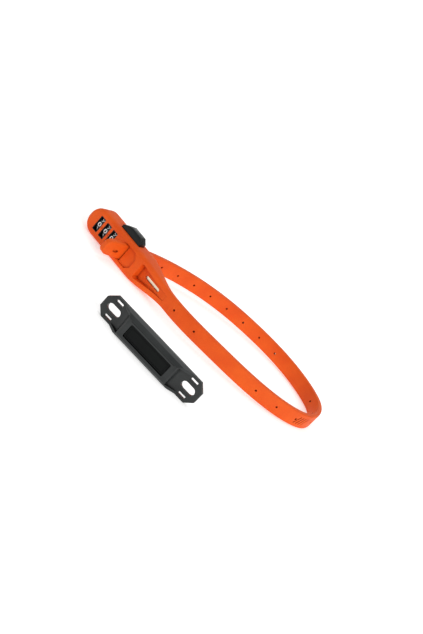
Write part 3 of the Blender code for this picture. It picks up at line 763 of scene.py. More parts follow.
def near_skin():
    stations = [head_station(x) for x in head_places()]
    stations += along_line(near_run, STRAP_SECTION)
    # The last millimetres slip inside the far run, a hair smaller, so that no seam shows.
    end, along = stations[-1][:2]
    inner = (STRAP_HALF_THICK - HAIR, STRAP_HALF_WIDTH - HAIR, STRAP_ROUND)
    stations.append((end + along * HAIR / 2, along, *inner))
    stations.append((end + along * OVERLAP, along, *inner))
    return finished("head_and_near_strap", sweep(stations), OVERMOULD)


near_strap = near_skin()
measure(near_strap)

# %% [markdown]
# The casing is a shell round the mechanism, so its inside is cut out, and then its
# openings. The three windows come first. Insetting and deleting faces would tie each
# opening to the faces of the sweep; a cutter is placed by its own size. It reaches a
# little past the surface, because two faces in one plane cut badly.

# %% Room and windows
PAST = 1 * MM
DIAL_X = [-14.0 * MM, -7.1 * MM, -0.2 * MM]
DIAL_AXIS = (-0.6 * MM, MID_Z)
ROOM_LOW, ROOM_HIGH = Vector((-22.5, -5.5, 2.0)) * MM, Vector((22.5, 8.5, 18.4)) * MM
ROOM_CORNER = 4.8 * MM
WINDOW_HALF = (2.45 * MM, 5.75 * MM)
WINDOW_CORNER, WINDOW_BACK = 0.5 * MM, -5.0 * MM


def room_tool():
    """The inside of the casing, with its two far corners rounded."""
    bm = block(ROOM_LOW, ROOM_HIGH)
    outer = [e for e in edges_along_y(bm) if e.verts[0].co.x < 0]
    round_corners(bm, outer, ROOM_CORNER)
    return finished("room_tool", bm)


def window_ring(x, half, corner):
    return [(x + a, MID_Z + b) for a, b in rounded(*half, corner, 3)]


def window_tools():
    """Three windows with corners just off square."""
    tools = []
    for x in DIAL_X:
        ring = window_ring(x, WINDOW_HALF, WINDOW_CORNER)
        tools.append(finished("window_tool", slab(ring, FACE_Y - PAST, WINDOW_BACK, seen_from_face)))
    return tools


print("wall round the room in mm:", round((ROOM_LOW.y - FACE_Y) / MM, 1))

# %% [markdown]
# The strap's end comes through a slot that is tilted by ten degrees, and the button sits in
# a hole in the upper edge. A box and a turn are enough for both.

# %% Slot and button hole
SLOT_TILT = radians(10)
SLOT_X = 11.6 * MM
SLOT_CORNER = 1.0 * MM
CLEAR = 0.3 * MM
BUTTON_HOLE_LOW = Vector((-2.3, -3.8, 17.4)) * MM
BUTTON_HOLE_HIGH = Vector((18.3, 3.8, 21.4)) * MM


def slot_tool(front, back, play=CLEAR, extra=0.0):
    """A bar along the tilted slot, a little wider than the strap."""
    half_x, half_z = STRAP_HALF_THICK + play, STRAP_HALF_WIDTH + play
    bm = block((-half_x, front, MID_Z - half_z), (half_x + extra, back, MID_Z + half_z))
    round_corners(bm, edges_along_y(bm), SLOT_CORNER, 4)
    place = Matrix.Translation((SLOT_X, FACE_Y, 0)) @ Matrix.Rotation(-SLOT_TILT, 4, "Z")
    bmesh.ops.transform(bm, matrix=place, verts=bm.verts)
    return finished("slot_tool", bm)


def button_tool():
    return finished("button_tool", block(BUTTON_HOLE_LOW, BUTTON_HOLE_HIGH))


print("slot in mm:", [round(2 * (half + CLEAR) / MM, 1) for half in STRAP_SECTION[:2]])

# %% [markdown]
# Two pockets are sunk into the face: a shallow one beside the slot, and a long deep one in
# the neck. Both have drafted walls, which catch the light. Draft is the slight slope that
# lets a moulding leave its mould; here the cutter's outer end is scaled up a little.

# %% Pockets
EXIT_POCKET_X = (12.0 * MM, 24.6 * MM)
EXIT_POCKET_HALF, EXIT_POCKET_CORNER, EXIT_POCKET_DEPTH = 6.6 * MM, 3.2 * MM, 1.2 * MM
EXIT_POCKET_FLARE, NECK_POCKET_FLARE = 1.06, 1.05
NECK_POCKET_FLOOR = -1.9 * MM
# Half of the neck's pocket: places along the neck, and the half width there.
NECK_POCKET = [(31.0, 5.2), (32.0, 5.9), (46.0, 3.5), (57.0, 2.2)]


def exit_pocket_tool():
    """The shallow pocket that the strap's tip lies in front of."""
    low, high = EXIT_POCKET_X
    half, corner = EXIT_POCKET_HALF, EXIT_POCKET_CORNER
    outline = [
        (low, MID_Z - half),
        (high - corner, MID_Z - half),
        (high, MID_Z - half + corner),
        (high, MID_Z + half - corner),
        (high - corner, MID_Z + half),
        (low, MID_Z + half),
    ]
    floor = FACE_Y + EXIT_POCKET_DEPTH
    solid = slab(outline, FACE_Y - PAST, floor, seen_from_face, EXIT_POCKET_FLARE)
    return finished("exit_pocket_tool", solid)


def neck_pocket_tool():
    """The deep pocket in the neck, down to just over the steel core."""
    lower = [(x * MM, MID_Z - half * MM) for x, half in NECK_POCKET]
    upper = [(x * MM, MID_Z + half * MM) for x, half in reversed(NECK_POCKET)]
    solid = slab(lower + upper, FACE_Y - PAST / 2, NECK_POCKET_FLOOR, seen_from_face, NECK_POCKET_FLARE)
    return finished("neck_pocket_tool", solid)


print("depth of the neck's pocket in mm:", round((NECK_POCKET_FLOOR - FACE_Y) / MM, 1))

# %% [markdown]
# The steel core lies in a channel down the middle of the strap, and a narrow window in the
# deep pocket shows it. The channel follows the same route as the strap, so it is swept like
# the strap, with a smaller section. It starts inside the head and runs past the skin's end.

# %% Channel of the core
CHANNEL = (0.9 * MM, 4.3 * MM, 0.3 * MM)
CORE_START, CORE_STRAIGHT = Vector((21.5 * MM, 0, MID_Z)), Vector((40 * MM, 0, MID_Z))
CORE_WINDOW_X = 42.8 * MM
CORE_WINDOW = (7.2 * MM, 1.25 * MM, 1.1 * MM)


def core_tools():
    """The channel that the steel core lies in, and the window that shows it."""
    past_end = near_run[-1] + headings(near_run)[-1] * 3 * MM
    line = [CORE_START, CORE_STRAIGHT, *near_run, past_end]
    channel = finished("core_channel_tool", sweep(along_line(line, CHANNEL), 1))
    ring = [(CORE_WINDOW_X + a, MID_Z + b) for a, b in rounded(*CORE_WINDOW, 4)]
    return [channel, finished("core_window_tool", slab(ring, FACE_Y, 0.0, seen_from_face))]


print("channel in mm:", [round(2 * half / MM, 1) for half in CHANNEL[:2]])

# %% [markdown]
# Beside each window two fine lines mark the row that is read. They are real grooves, a
# quarter of a millimetre deep, because a painted line would need a map of its own.

# %% Index lines, and the cuts themselves
INDEX_X = [x + 3.45 * MM for x in DIAL_X]
INDEX_SHIFT, INDEX_DEPTH = 0.45 * MM, 0.25 * MM
INDEX_HALF_LENGTH, INDEX_HALF_WIDTH = 0.8 * MM, 0.14 * MM
SLOT_FRONT, SLOT_BACK, SLOT_EXTRA = -2 * MM, 4 * MM, 0.7 * MM


def index_tools():
    """Two fine lines beside each window, which mark the row that is read."""
    tools = []
    for x in INDEX_X:
        for z in (MID_Z - INDEX_SHIFT, MID_Z + INDEX_SHIFT):
            low = (x - INDEX_HALF_LENGTH, FACE_Y - PAST, z - INDEX_HALF_WIDTH)
            high = (x + INDEX_HALF_LENGTH, FACE_Y + INDEX_DEPTH, z + INDEX_HALF_WIDTH)
            tools.append(finished("index_tool", block(low, high)))
    return tools


slot = slot_tool(SLOT_FRONT, SLOT_BACK, CLEAR, SLOT_EXTRA)
carve(near_strap, [room_tool(), *window_tools(), slot, button_tool()])
carve(near_strap, [exit_pocket_tool(), neck_pocket_tool(), *core_tools(), *index_tools()])
measure(near_strap)

# %% [markdown]
# Small pits run along the middle of both flat sides, where pins held the steel core in
# the mould while the rubber flowed round it. They are cut at an even pitch, but the stretch
# of the near run that usually carries a printed name stays plain. All the pins of one side
# are one cutter: one Boolean is far quicker than eight.

# %% Pits
PIT_RADIUS, PIT_DEPTH = 0.8 * MM, 1.1 * MM
NEAR_FIRST, NEAR_PITCH, NEAR_COUNT, PLAIN = 6.8 * MM, 18.9 * MM, 10, (2, 3)
FAR_FIRST, FAR_PITCH, FAR_COUNT = 15.0 * MM, 17.0 * MM, 9
NEAR_PITS = [NEAR_FIRST + NEAR_PITCH * k for k in range(NEAR_COUNT) if k not in PLAIN]
FAR_PITS = [FAR_FIRST + FAR_PITCH * k for k in range(FAR_COUNT)]


def pit_tool(points, places, side_sign):
    """All the pits of one side as one tool of short round pins."""
    bm = bmesh.new()
    for distance in places:
        point, along = walk(points, distance)
        out = along.cross(UP).normalized() * side_sign
        center = point + out * (STRAP_HALF_THICK + PAST - PIT_DEPTH)
        rod(center, out, PIT_RADIUS, 2 * PAST, 16, bm)
    return finished("pit_tool", bm)


carve(near_strap, [pit_tool(near_run, NEAR_PITS, 1), pit_tool(near_run, NEAR_PITS, -1)])
measure(near_strap)

# %% [markdown]
# Just before the loop turns there are four slanting grip grooves on the outer side, each
# shallower than the one before. Each cutter is a bar that is turned in its own axes first
# and then set on the strap by a matrix made of the strap's directions at that place.

# %% Grip grooves
GROOVE_FIRST, GROOVE_PITCH, GROOVE_COUNT = 122 * MM, 2.6 * MM, 4
GROOVE_TILT = radians(28)
GROOVE_HALF_WIDTH, GROOVE_HALF_LENGTH = 0.35 * MM, 3.6 * MM
GROOVE_DEPTH, DEPTH_STEP = 0.55 * MM, 0.12 * MM


def groove_tool(points):
    """Slanting bars that cut the outer side, each a little less deep."""
    bm = bmesh.new()
    for k in range(GROOVE_COUNT):
        point, along = walk(points, GROOVE_FIRST + GROOVE_PITCH * k)
        out = along.cross(UP).normalized()
        low = (-GROOVE_HALF_WIDTH, -PAST, -GROOVE_HALF_LENGTH)
        high = (GROOVE_HALF_WIDTH, GROOVE_DEPTH - DEPTH_STEP * k, GROOVE_HALF_LENGTH)
        bar = block(low, high)
        tilt = Matrix.Rotation(GROOVE_TILT, 4, "Y")
        seat = Matrix.Translation(point + out * STRAP_HALF_THICK)
        place = seat @ Matrix((along, -out, UP)).transposed().to_4x4() @ tilt
        bmesh.ops.transform(bar, matrix=place, verts=bar.verts)
        scrap = bpy.data.meshes.new("groove")
        bar.to_mesh(scrap)
        bar.free()
        bm.from_mesh(scrap)
        bpy.data.meshes.remove(scrap)
    return finished("groove_tool", bm)


carve(near_strap, [groove_tool(near_run)])
shade(near_strap)
measure(near_strap)

# %% [markdown]
# ## Far run and the strap's end
# The far run and the tip are the second skin, from the top of the loop through the slot.
# The tip narrows in a round curve and thins at its very end, which the sweep's last
# stations give it.

# %% Far run and tip
TAIL_START, TAIL_ANGLE = knot(len(LOOP) - 1), radians(LOOP[-1][3])
TAIL_HEADING = Vector((cos(TAIL_ANGLE), sin(TAIL_ANGLE), 0))
TAIL_OUT = 17.6 * MM
TIP_LENGTH = 4.0 * MM
TIP_HALF_WIDTH = 2.3 * MM
TAIL_LENGTH = (TAIL_START.y - FACE_Y) / cos(SLOT_TILT) + TAIL_OUT
TIP_BLEND, TIP_STEPS, TIP_POWER = 1.6 * MM, 12, 1.7
TIP_THINNING, THIN_FROM = 0.55 * MM, 0.7


def tail_point(distance):
    return TAIL_START + TAIL_HEADING * distance


def tip_station(t):
    """A section of the tip: t is 0 where the strap still has its full width, 1 at its end."""
    half = STRAP_HALF_WIDTH - (STRAP_HALF_WIDTH - TIP_HALF_WIDTH) * t**TIP_POWER
    thick = STRAP_HALF_THICK - TIP_THINNING * max(0.0, (t - THIN_FROM) / (1 - THIN_FROM)) ** 2
    start = TAIL_LENGTH - TIP_LENGTH - TIP_BLEND
    place = tail_point(start + (TIP_LENGTH + TIP_BLEND) * sin(t * pi / 2))
    return (place, TAIL_HEADING, thick, half, min(STRAP_ROUND, thick * CORNER_SHARE))


def far_skin():
    stations = along_line(far_run, STRAP_SECTION)
    for distance in (10 * MM, 20 * MM, TAIL_LENGTH - TIP_LENGTH - TIP_BLEND):
        stations.append((tail_point(distance), TAIL_HEADING, *STRAP_SECTION))
    stations += [tip_station(k / TIP_STEPS) for k in range(1, TIP_STEPS + 1)]
    return finished("far_strap_and_tip", sweep(stations), OVERMOULD)


far_strap = far_skin()
measure(far_strap)

# %% [markdown]
# The far run has the core's channel and the pits as well, and its end has an oval dimple
# that gives the fingers a hold. The steel core in it is one thin strip, swept along the
# same line as the channel, so that both bend together.

# %% Channel, pits and dimple of the far run
CHANNEL_SHORT, CORE_SHORT = 5.0 * MM, 5.3 * MM
CORE_STRIP = (0.6 * MM, 4.0 * MM, 0.3 * MM)
DIMPLE_FROM_END, DIMPLE_DROP = 11.1 * MM, 0.8 * MM
DIMPLE_RADIUS, DIMPLE_DEPTH, DIMPLE_STRETCH = 1.2 * MM, 1.0 * MM, 2.2


def far_channel_tool():
    before = far_run[0] - headings(far_run)[0] * PAST
    line = [before, *far_run, tail_point(TAIL_LENGTH - CHANNEL_SHORT)]
    return finished("far_channel_tool", sweep(along_line(line, CHANNEL), 1))


def dimple_tool():
    """An oval dimple in the flat side of the end."""
    side = TAIL_HEADING.cross(UP).normalized() * -1
    place = tail_point(TAIL_LENGTH - DIMPLE_FROM_END) + side * STRAP_HALF_THICK - UP * DIMPLE_DROP
    bm = rod((0, 0, 0), (0, 0, 1), DIMPLE_RADIUS, 2 * DIMPLE_DEPTH, 24)
    bmesh.ops.scale(bm, vec=(1.0, DIMPLE_STRETCH, 1.0), verts=bm.verts)
    turn = Matrix((UP, TAIL_HEADING, side)).transposed().to_4x4()
    bmesh.ops.transform(bm, matrix=Matrix.Translation(place) @ turn, verts=bm.verts)
    return finished("dimple_tool", bm)


def far_core():
    """The steel core of the far run and of the end, in one strip."""
    line = [*far_run, tail_point(TAIL_LENGTH - CORE_SHORT)]
    strip = finished("far_core", sweep(along_line(line, CORE_STRIP), 2), STRIP_STEEL)
    shade(strip)
    return strip


carve(far_strap, [far_channel_tool()])
carve(far_strap, [pit_tool(far_run, FAR_PITS, 1), pit_tool(far_run, FAR_PITS, -1), dimple_tool()])
shade(far_strap)
far_strip = far_core()
measure(far_strap, far_strip)

# %% [markdown]
# ## Number wheels
# A code wheel is an acetal ring with ten flats, one to a digit, and a scallop between
# neighbours for the fingertip. A cone with ten sides and equal ends already has the flats,
# the scallops are cut by rods on the corners between them, and a narrower flange joins
# each wheel to its neighbour.

# %% Wheels
WHEEL_RADIUS, WHEEL_HALF_WIDTH = 6.4 * MM, 1.95 * MM
SCALLOP_RADIUS, SCALLOP_OUT = 0.5 * MM, 0.1 * MM
FLANGE_RADIUS, FLANGE_HALF_WIDTH, BORE_RADIUS = 4.4 * MM, 3.0 * MM, 3.4 * MM
FLATS = 10
FLAT_ANGLE = 2 * pi / FLATS
X_AXIS = Vector((1, 0, 0))


def on_dial(x, angle, radius):
    """A place round the dial axis; angle 0 faces the window and grows towards the button."""
    return Vector((x, DIAL_AXIS[0] - radius * cos(angle), DIAL_AXIS[1] + radius * sin(angle)))


def wheel(number, x):
    center = (x, *DIAL_AXIS)
    turn = Matrix.Translation(center) @ Matrix.Rotation(pi / 2, 4, "Y")
    bm = bmesh.new()
    bmesh.ops.create_cone(
        bm,
        cap_ends=True,
        segments=FLATS,
        radius1=WHEEL_RADIUS,
        radius2=WHEEL_RADIUS,
        depth=2 * WHEEL_HALF_WIDTH,
        matrix=turn @ Matrix.Rotation(FLAT_ANGLE / 2, 4, "Z"),
    )
    piece = finished(f"code_wheel_{number}", bm, ACETAL)
    scallops = bmesh.new()
    for k in range(FLATS):
        corner = on_dial(x, (k + 0.5) * FLAT_ANGLE, WHEEL_RADIUS + SCALLOP_OUT)
        rod(corner, X_AXIS, SCALLOP_RADIUS, 2 * FLANGE_HALF_WIDTH, 12, scallops)
    carve(piece, [finished("scallop_tool", scallops)])
    flange = rod(center, X_AXIS, FLANGE_RADIUS, 2 * FLANGE_HALF_WIDTH, 48)
    carve(piece, [finished("flange_tool", flange)], "UNION")
    bore = rod(center, X_AXIS, BORE_RADIUS, 2 * FLANGE_HALF_WIDTH + 4 * PAST, 48)
    carve(piece, [finished("bore_tool", bore)])
    soften(piece, 0.12 * MM, 30)
    return piece


wheels = [wheel(number, x) for number, x in enumerate(DIAL_X, 1)]
measure(*wheels)

# %% [markdown]
# The digits are moulded in and filled with white paint. An image on the wheel would blur
# at this size, so each digit is a thin raised shape. Text is made a mesh first, centred,
# and then laid on its flat with a matrix made of the flat's own directions.

# %% Shapes of the ten digits
DIGIT_SIZE, DIGIT_RISE, DIGIT_WIDEN = 4.5 * MM, 0.06 * MM, 1.3


def curve_mesh(curve):
    """The mesh of a curve or a text, which is removed afterwards."""
    holder = bpy.data.objects.new(curve.name, curve)
    bpy.context.scene.collection.objects.link(holder)
    bpy.context.view_layer.update()
    graph = bpy.context.evaluated_depsgraph_get()
    mesh = bpy.data.meshes.new_from_object(holder.evaluated_get(graph))
    bpy.data.objects.remove(holder)
    bpy.data.curves.remove(curve)
    return mesh


def digit_shape(text):
    """One digit as a thin solid, centred on the origin."""
    curve = bpy.data.curves.new("digit", "FONT")
    curve.body = text
    curve.size = DIGIT_SIZE
    curve.align_x = "CENTER"
    curve.align_y = "CENTER"
    curve.extrude = DIGIT_RISE
    curve.resolution_u = 4
    mesh = curve_mesh(curve)
    low, high = extent(mesh)
    mesh.transform(Matrix.Translation(-(low + high) / 2))
    mesh.transform(Matrix.Diagonal((DIGIT_WIDEN, 1.0, 1.0, 1.0)))
    return mesh


digit_meshes = [digit_shape(str(value)) for value in range(FLATS)]
print("faces of the digits:", [len(mesh.polygons) for mesh in digit_meshes])

# %% [markdown]
# Zero faces the window, and turning the wheel upwards brings the next number into it. The
# ten digits of a wheel are one piece, which turns with its wheel.

# %% Digits on the wheels


def digits(number, x):
    """Ten digits round a wheel, with 0 in the window and the numbers growing downwards."""
    bm = bmesh.new()
    apothem = WHEEL_RADIUS * cos(FLAT_ANGLE / 2)
    for value, mesh in enumerate(digit_meshes):
        angle = -value * FLAT_ANGLE
        out = on_dial(0, angle, 1.0) - on_dial(0, angle, 0.0)
        up = out.cross(X_AXIS)
        frame_axes = Matrix((X_AXIS, up, out)).transposed().to_4x4()
        place = Matrix.Translation(on_dial(x, angle, apothem)) @ frame_axes
        shape = mesh.copy()
        shape.transform(place)
        bm.from_mesh(shape)
        bpy.data.meshes.remove(shape)
    bmesh.ops.remove_doubles(bm, verts=bm.verts, dist=0.001 * MM)
    piece = finished(f"digits_{number}", bm, DIGIT_PAINT)
    shade(piece)
    return piece


digit_rings = [digits(number, x) for number, x in enumerate(DIAL_X, 1)]
for mesh in digit_meshes:
    bpy.data.meshes.remove(mesh)
measure(*digit_rings)

# %% [markdown]
# Each window is lined with a black frame, part of the moulding that carries the wheels.
# It is what makes the digits stand in a clean dark field instead of in an orange one. The
# frames stop a tenth of a millimetre below the casing's face, as fitted parts do.

# %% Window frames
FRAME_OUTER, FRAME_OUTER_CORNER = (2.4 * MM, 5.7 * MM), 0.5 * MM
FRAME_INNER, FRAME_INNER_CORNER = (2.08 * MM, 5.35 * MM), 0.3 * MM
FRAME_SUNK, FRAME_BACK, FRAME_HOLE_BACK = 0.1 * MM, -5.1 * MM, -4.0 * MM


def window_frames():
    bm = bmesh.new()
    for x in DIAL_X:
        outer = window_ring(x, FRAME_OUTER, FRAME_OUTER_CORNER)
        inner = window_ring(x, FRAME_INNER, FRAME_INNER_CORNER)
        solid = slab(outer, FACE_Y + FRAME_SUNK, FRAME_BACK, seen_from_face)
        rim = finished("window_rim", solid, FRAME_ABS)
        hole = slab(inner, FACE_Y - PAST, FRAME_HOLE_BACK, seen_from_face)
        carve(rim, [finished("frame_hole_tool", hole)])
        bm.from_mesh(rim.data)
        bpy.data.objects.remove(rim)
    piece = finished("window_frames", bm, FRAME_ABS)
    shade(piece)
    return piece


window_trim = window_frames()
measure(window_trim)

# %% [markdown]
# ## Release button
# The thumb pushes this black key into the head's upper edge. Its ends are cut at a slant.
# Seen from the face it is one outline, so it is a slab grown from that outline. Below the
# casing's edge it keeps the stem, whose slanting edge pushes the latch aside as it sinks.

# %% Button and its stem
BUTTON_LOW, BUTTON_HIGH, BUTTON_HALF = -2.0 * MM, 18.0 * MM, 3.5 * MM
BUTTON_FLOOR, SHOULDER_Z, BUTTON_TOP = 19.2 * MM, 22.4 * MM, 25.4 * MM
NEAR_SLANT, FAR_SLANT = 3.4 * MM, 6.0 * MM
RAMP_SLOPE, RAMP_FOOT_X, RAMP_FOOT_Z = 0.48, 9.04 * MM, MID_Z - 0.2 * MM
STEM_TIP, STEM_TOP = 12.6 * MM, 15.6 * MM
STEM_WIDTH, STEM_HALF = 1.4 * MM, 2 * MM


def key_outline():
    return [
        (BUTTON_LOW, BUTTON_FLOOR),
        (BUTTON_HIGH, BUTTON_FLOOR),
        (BUTTON_HIGH, SHOULDER_Z),
        (BUTTON_HIGH - NEAR_SLANT, BUTTON_TOP),
        (BUTTON_LOW + FAR_SLANT, BUTTON_TOP),
        (BUTTON_LOW, SHOULDER_Z),
    ]


def stem_outline():
    """The stem from its tip up into the key; its ramp leans by the latch's slope."""
    root = BUTTON_FLOOR + PAST
    edge = RAMP_FOOT_X - RAMP_SLOPE * (STEM_TIP - RAMP_FOOT_Z)
    ramp_top = edge - RAMP_SLOPE * (STEM_TOP - STEM_TIP)
    right = edge + STEM_WIDTH
    return [(edge, STEM_TIP), (right, STEM_TIP), (right, root), (ramp_top, root), (ramp_top, STEM_TOP)]


def button():
    solid = slab(key_outline(), -BUTTON_HALF, BUTTON_HALF, seen_from_face)
    key = finished("button_key", solid, BUTTON_ABS)
    stem = slab(stem_outline(), -STEM_HALF, STEM_HALF, seen_from_face)
    carve(key, [finished("stem_tool", stem)], "UNION")
    soften(key, 0.5 * MM, 30, 3)
    return key


release_key = button()
measure(release_key)

# %% [markdown]
# The slanted end nearest the strap has fine ribs, so that the thumb finds it. Cutting round
# valleys leaves the ribs standing between them. They are cut after the edges are softened,
# because a bevel would eat such narrow ribs.

# %% Ribs of the button
RIB_RADIUS, RIB_OUT, RIB_COUNT = 0.3 * MM, 0.1 * MM, 4
RIB_FIRST, RIB_PITCH = 1.0 * MM, 1.05 * MM


def cut_ribs(key):
    rise = BUTTON_TOP - SHOULDER_Z
    run = Vector((-NEAR_SLANT, 0, rise)).normalized()
    normal = Vector((rise, 0, NEAR_SLANT)).normalized()
    start = Vector((BUTTON_HIGH, 0, SHOULDER_Z)) + normal * RIB_OUT
    valleys = []
    for k in range(RIB_COUNT):
        place = start + run * (RIB_FIRST + RIB_PITCH * k)
        valleys.append(finished("rib_tool", rod(place, (0, 1, 0), RIB_RADIUS, 12 * MM, 16)))
    carve(key, valleys)
    shade(key, 30)


cut_ribs(release_key)
measure(release_key)

# %% [markdown]
# ## Back of the head
# The back cover is a plate let into the casing, with two round corners that follow the
# casing's end. It is a block with cut holes: one for each screw, one for the reset disc,
# the slot for the strap, and two small marks for the disc's two places.

# %% Cover
COVER_LOW, COVER_HIGH = Vector((-22.2, 6.2, 2.3)) * MM, Vector((22.2, 7.5, 18.1)) * MM
COVER_CORNER = 4.6 * MM
COVER_SLOT = (11 * MM, 19 * MM)
SCREW_HOLE, RESET_HOLE, MARK_HOLE = 1.9 * MM, 2.5 * MM, 0.4 * MM
MARK_RADIUS, MARK_DEPTH = 3.9 * MM, 0.3 * MM
SCREWS = [(-19.2 * MM, 14.0 * MM), (-19.2 * MM, 6.4 * MM), (19.9 * MM, 4.6 * MM), (19.9 * MM, 15.8 * MM)]
RESET = Vector((6.2 * MM, 6.9 * MM, MID_Z))
Y_AXIS = Vector((0, 1, 0))


def hole_tool(name, x, z, radius, length, sides=32):
    """A round cutter that stands in the back face."""
    return finished(name, rod((x, BACK_Y, z), Y_AXIS, radius, length, sides))


def cover():
    bm = block(COVER_LOW, COVER_HIGH)
    outer = [e for e in edges_along_y(bm) if e.verts[0].co.x < 0]
    round_corners(bm, outer, COVER_CORNER)
    plate = finished("cover_plate", bm, OVERMOULD)
    tools = [slot_tool(*COVER_SLOT)]
    tools += [hole_tool("screw_hole_tool", x, z, SCREW_HOLE, 4 * MM) for x, z in SCREWS]
    tools.append(hole_tool("reset_hole_tool", RESET.x, RESET.z, RESET_HOLE, 4 * MM))
    for angle in (0, pi / 2):
        mark = RESET + Vector((-cos(angle), 0, sin(angle))) * MARK_RADIUS
        tools.append(hole_tool("mark_tool", mark.x, mark.z, MARK_HOLE, 2 * MARK_DEPTH, 16))
    carve(plate, tools)
    soften(plate, 0.2 * MM, 40)
    return plate


cover_plate = cover()
measure(cover_plate)

# %% [markdown]
# Four screws with a hexagon socket hold the cover, and the slotted brass disc in the middle
# is turned to set a new code. Only the heads show, so only they are modelled anew. A rod
# with six sides is already the socket's cutter.

# %% Screw heads and reset disc
SCREW_RADIUS, SCREW_SUNK, SCREW_HEIGHT = 1.6 * MM, 0.8 * MM, 1.2 * MM
SOCKET_RADIUS, SOCKET_DEPTH = 0.8 * MM, 0.75 * MM
DISC_RADIUS, DISC_HEIGHT = 2.2 * MM, 1.2 * MM
DRIVER_SLOT = (Vector((-3, 0.15, -0.4)) * MM, Vector((3, 1.2, 0.4)) * MM)


def screw(number, x, z):
    """A screw head with a chamfered rim and a hexagon socket."""
    bm = rod((x, BACK_Y - SCREW_SUNK, z), Y_AXIS, SCREW_RADIUS, SCREW_HEIGHT, 40)
    head = finished(f"cover_screw_head_{number}", bm, PLATED_STEEL)
    carve(head, [hole_tool("socket_tool", x, z, SOCKET_RADIUS, 2 * SOCKET_DEPTH, 6)])
    soften(head, 0.15 * MM, 40)
    return head


def reset_disc():
    disc = finished("reset_disc", rod(RESET, Y_AXIS, DISC_RADIUS, DISC_HEIGHT, 48), TURNED_BRASS)
    low, high = DRIVER_SLOT
    carve(disc, [finished("driver_slot_tool", block(RESET + low, RESET + high))])
    soften(disc, 0.12 * MM, 40)
    return disc


screws = [screw(number, x, z) for number, (x, z) in enumerate(SCREWS, 1)]
reset = reset_disc()
measure(*screws, reset)

# %% [markdown]
# ## Springs
# A helical spring is a curve, its wire a round bevel on it. The points of the curve go
# round a circle while they climb from one end to the other. Both springs are meshes in the
# end.

# %% Springs
TURN_POINTS = 24
LATCH_WALL, LATCH_FOOT = (-22.2 * MM, DIAL_AXIS[0], MID_Z), (-19.0 * MM, DIAL_AXIS[0], MID_Z)
STEM_SEAT, KEY_SEAT = (17.2 * MM, 0, 15.2 * MM), (17.2 * MM, 0, 18.8 * MM)


def spring(name, start, end, radius, turns, wire):
    """A coil between two places, with the radius of its turns and the wire's diameter."""
    start, end = Vector(start), Vector(end)
    turn = UP.rotation_difference(end - start)
    curve = bpy.data.curves.new(name, "CURVE")
    curve.dimensions = "3D"
    curve.bevel_depth = wire / 2
    curve.bevel_resolution = 2
    curve.use_fill_caps = True
    count = turns * TURN_POINTS
    line = curve.splines.new("POLY")
    line.points.add(count)
    for i, point in enumerate(line.points):
        angle = 2 * pi * i / TURN_POINTS
        flat = Vector((radius * cos(angle), radius * sin(angle), 0))
        point.co = (*(start + turn @ flat + (end - start) * (i / count)), 1)
    mesh = curve_mesh(curve)
    bm = bmesh.new()
    bm.from_mesh(mesh)
    bpy.data.meshes.remove(mesh)
    bmesh.ops.remove_doubles(bm, verts=bm.verts, dist=0.001 * MM)
    piece = finished(name, bm, SPRING_STEEL)
    shade(piece, 50)
    return piece


latch_coil = spring("latch_coil", LATCH_WALL, LATCH_FOOT, 1.2 * MM, 3, 0.35 * MM)
button_coil = spring("button_coil", STEM_SEAT, KEY_SEAT, 0.8 * MM, 4, 0.4 * MM)
measure(latch_coil, button_coil)

# %% [markdown]
# ## Frame bracket
# The bracket bolts to a bicycle's bottle bosses, and the rolled-up lock is strapped to
# it. It is one nylon moulding: two tabs with slots, and a raised body with a sunk panel.
# Building it from boxes would leave seams to clean. Instead three outlines, one for each
# direction, are grown to solids, and what they share is the bracket.

# %% Bracket from three outlines
BRACKET_PLACE = Matrix.Translation((100 * MM, -66 * MM, 0)) @ Matrix.Rotation(radians(12), 4, "Z")
HALF_LENGTH, BRACKET_HALF, CHAMFER = 40.5 * MM, 8.5 * MM, 4.8 * MM
TAB, RISE, TOP_HALF, RAMP_END = 3.0 * MM, 9.0 * MM, 20.0 * MM, 28.5 * MM
EDGE_BEVEL = 2.1 * MM


def placed(bm):
    bmesh.ops.transform(bm, matrix=BRACKET_PLACE, verts=bm.verts)
    return bm


def seen_from_end(a, b, depth):
    """Outline in Y and Z, grown along X."""
    return (depth, a, b)


def mirrored(half_outline):
    """Close an outline whose right half is given from top to bottom."""
    return half_outline + [(-a, b) for a, b in reversed(half_outline)]


def bracket_plan():
    wide = BRACKET_HALF
    right = [(HALF_LENGTH - CHAMFER, 2 * wide), (HALF_LENGTH, 2 * wide - CHAMFER)]
    right += [(HALF_LENGTH, CHAMFER), (HALF_LENGTH - CHAMFER, 0.0)]
    return slab(mirrored(right), -RISE - PAST, 0.0, seen_from_face)


def bracket_side():
    past_end = HALF_LENGTH + PAST
    right = [(TOP_HALF, -RISE), (RAMP_END, -TAB), (past_end, -TAB), (past_end, PAST)]
    return slab(mirrored(right), -PAST, 2 * BRACKET_HALF + PAST, seen_from_side)


def bracket_end():
    wide = 2 * BRACKET_HALF
    outline = [
        (PAST, 0.0),
        (-RISE + EDGE_BEVEL, 0.0),
        (-RISE, EDGE_BEVEL),
        (-RISE, wide - EDGE_BEVEL),
        (-RISE + EDGE_BEVEL, wide),
        (PAST, wide),
    ]
    return slab(outline, -50 * MM, 50 * MM, seen_from_end)


def bracket():
    body = finished("bracket_moulding", placed(bracket_plan()), NYLON)
    sides = [finished("side_tool", placed(bracket_side())), finished("end_tool", placed(bracket_end()))]
    carve(body, sides, "INTERSECT")
    return body


bracket_moulding = bracket()
measure(bracket_moulding)

# %% [markdown]
# Scoops hollow the two ramps between thin side walls, which saves nylon and keeps the wall
# even as it cools. Each hollow is a quarter ellipse, cut straight through between the walls.

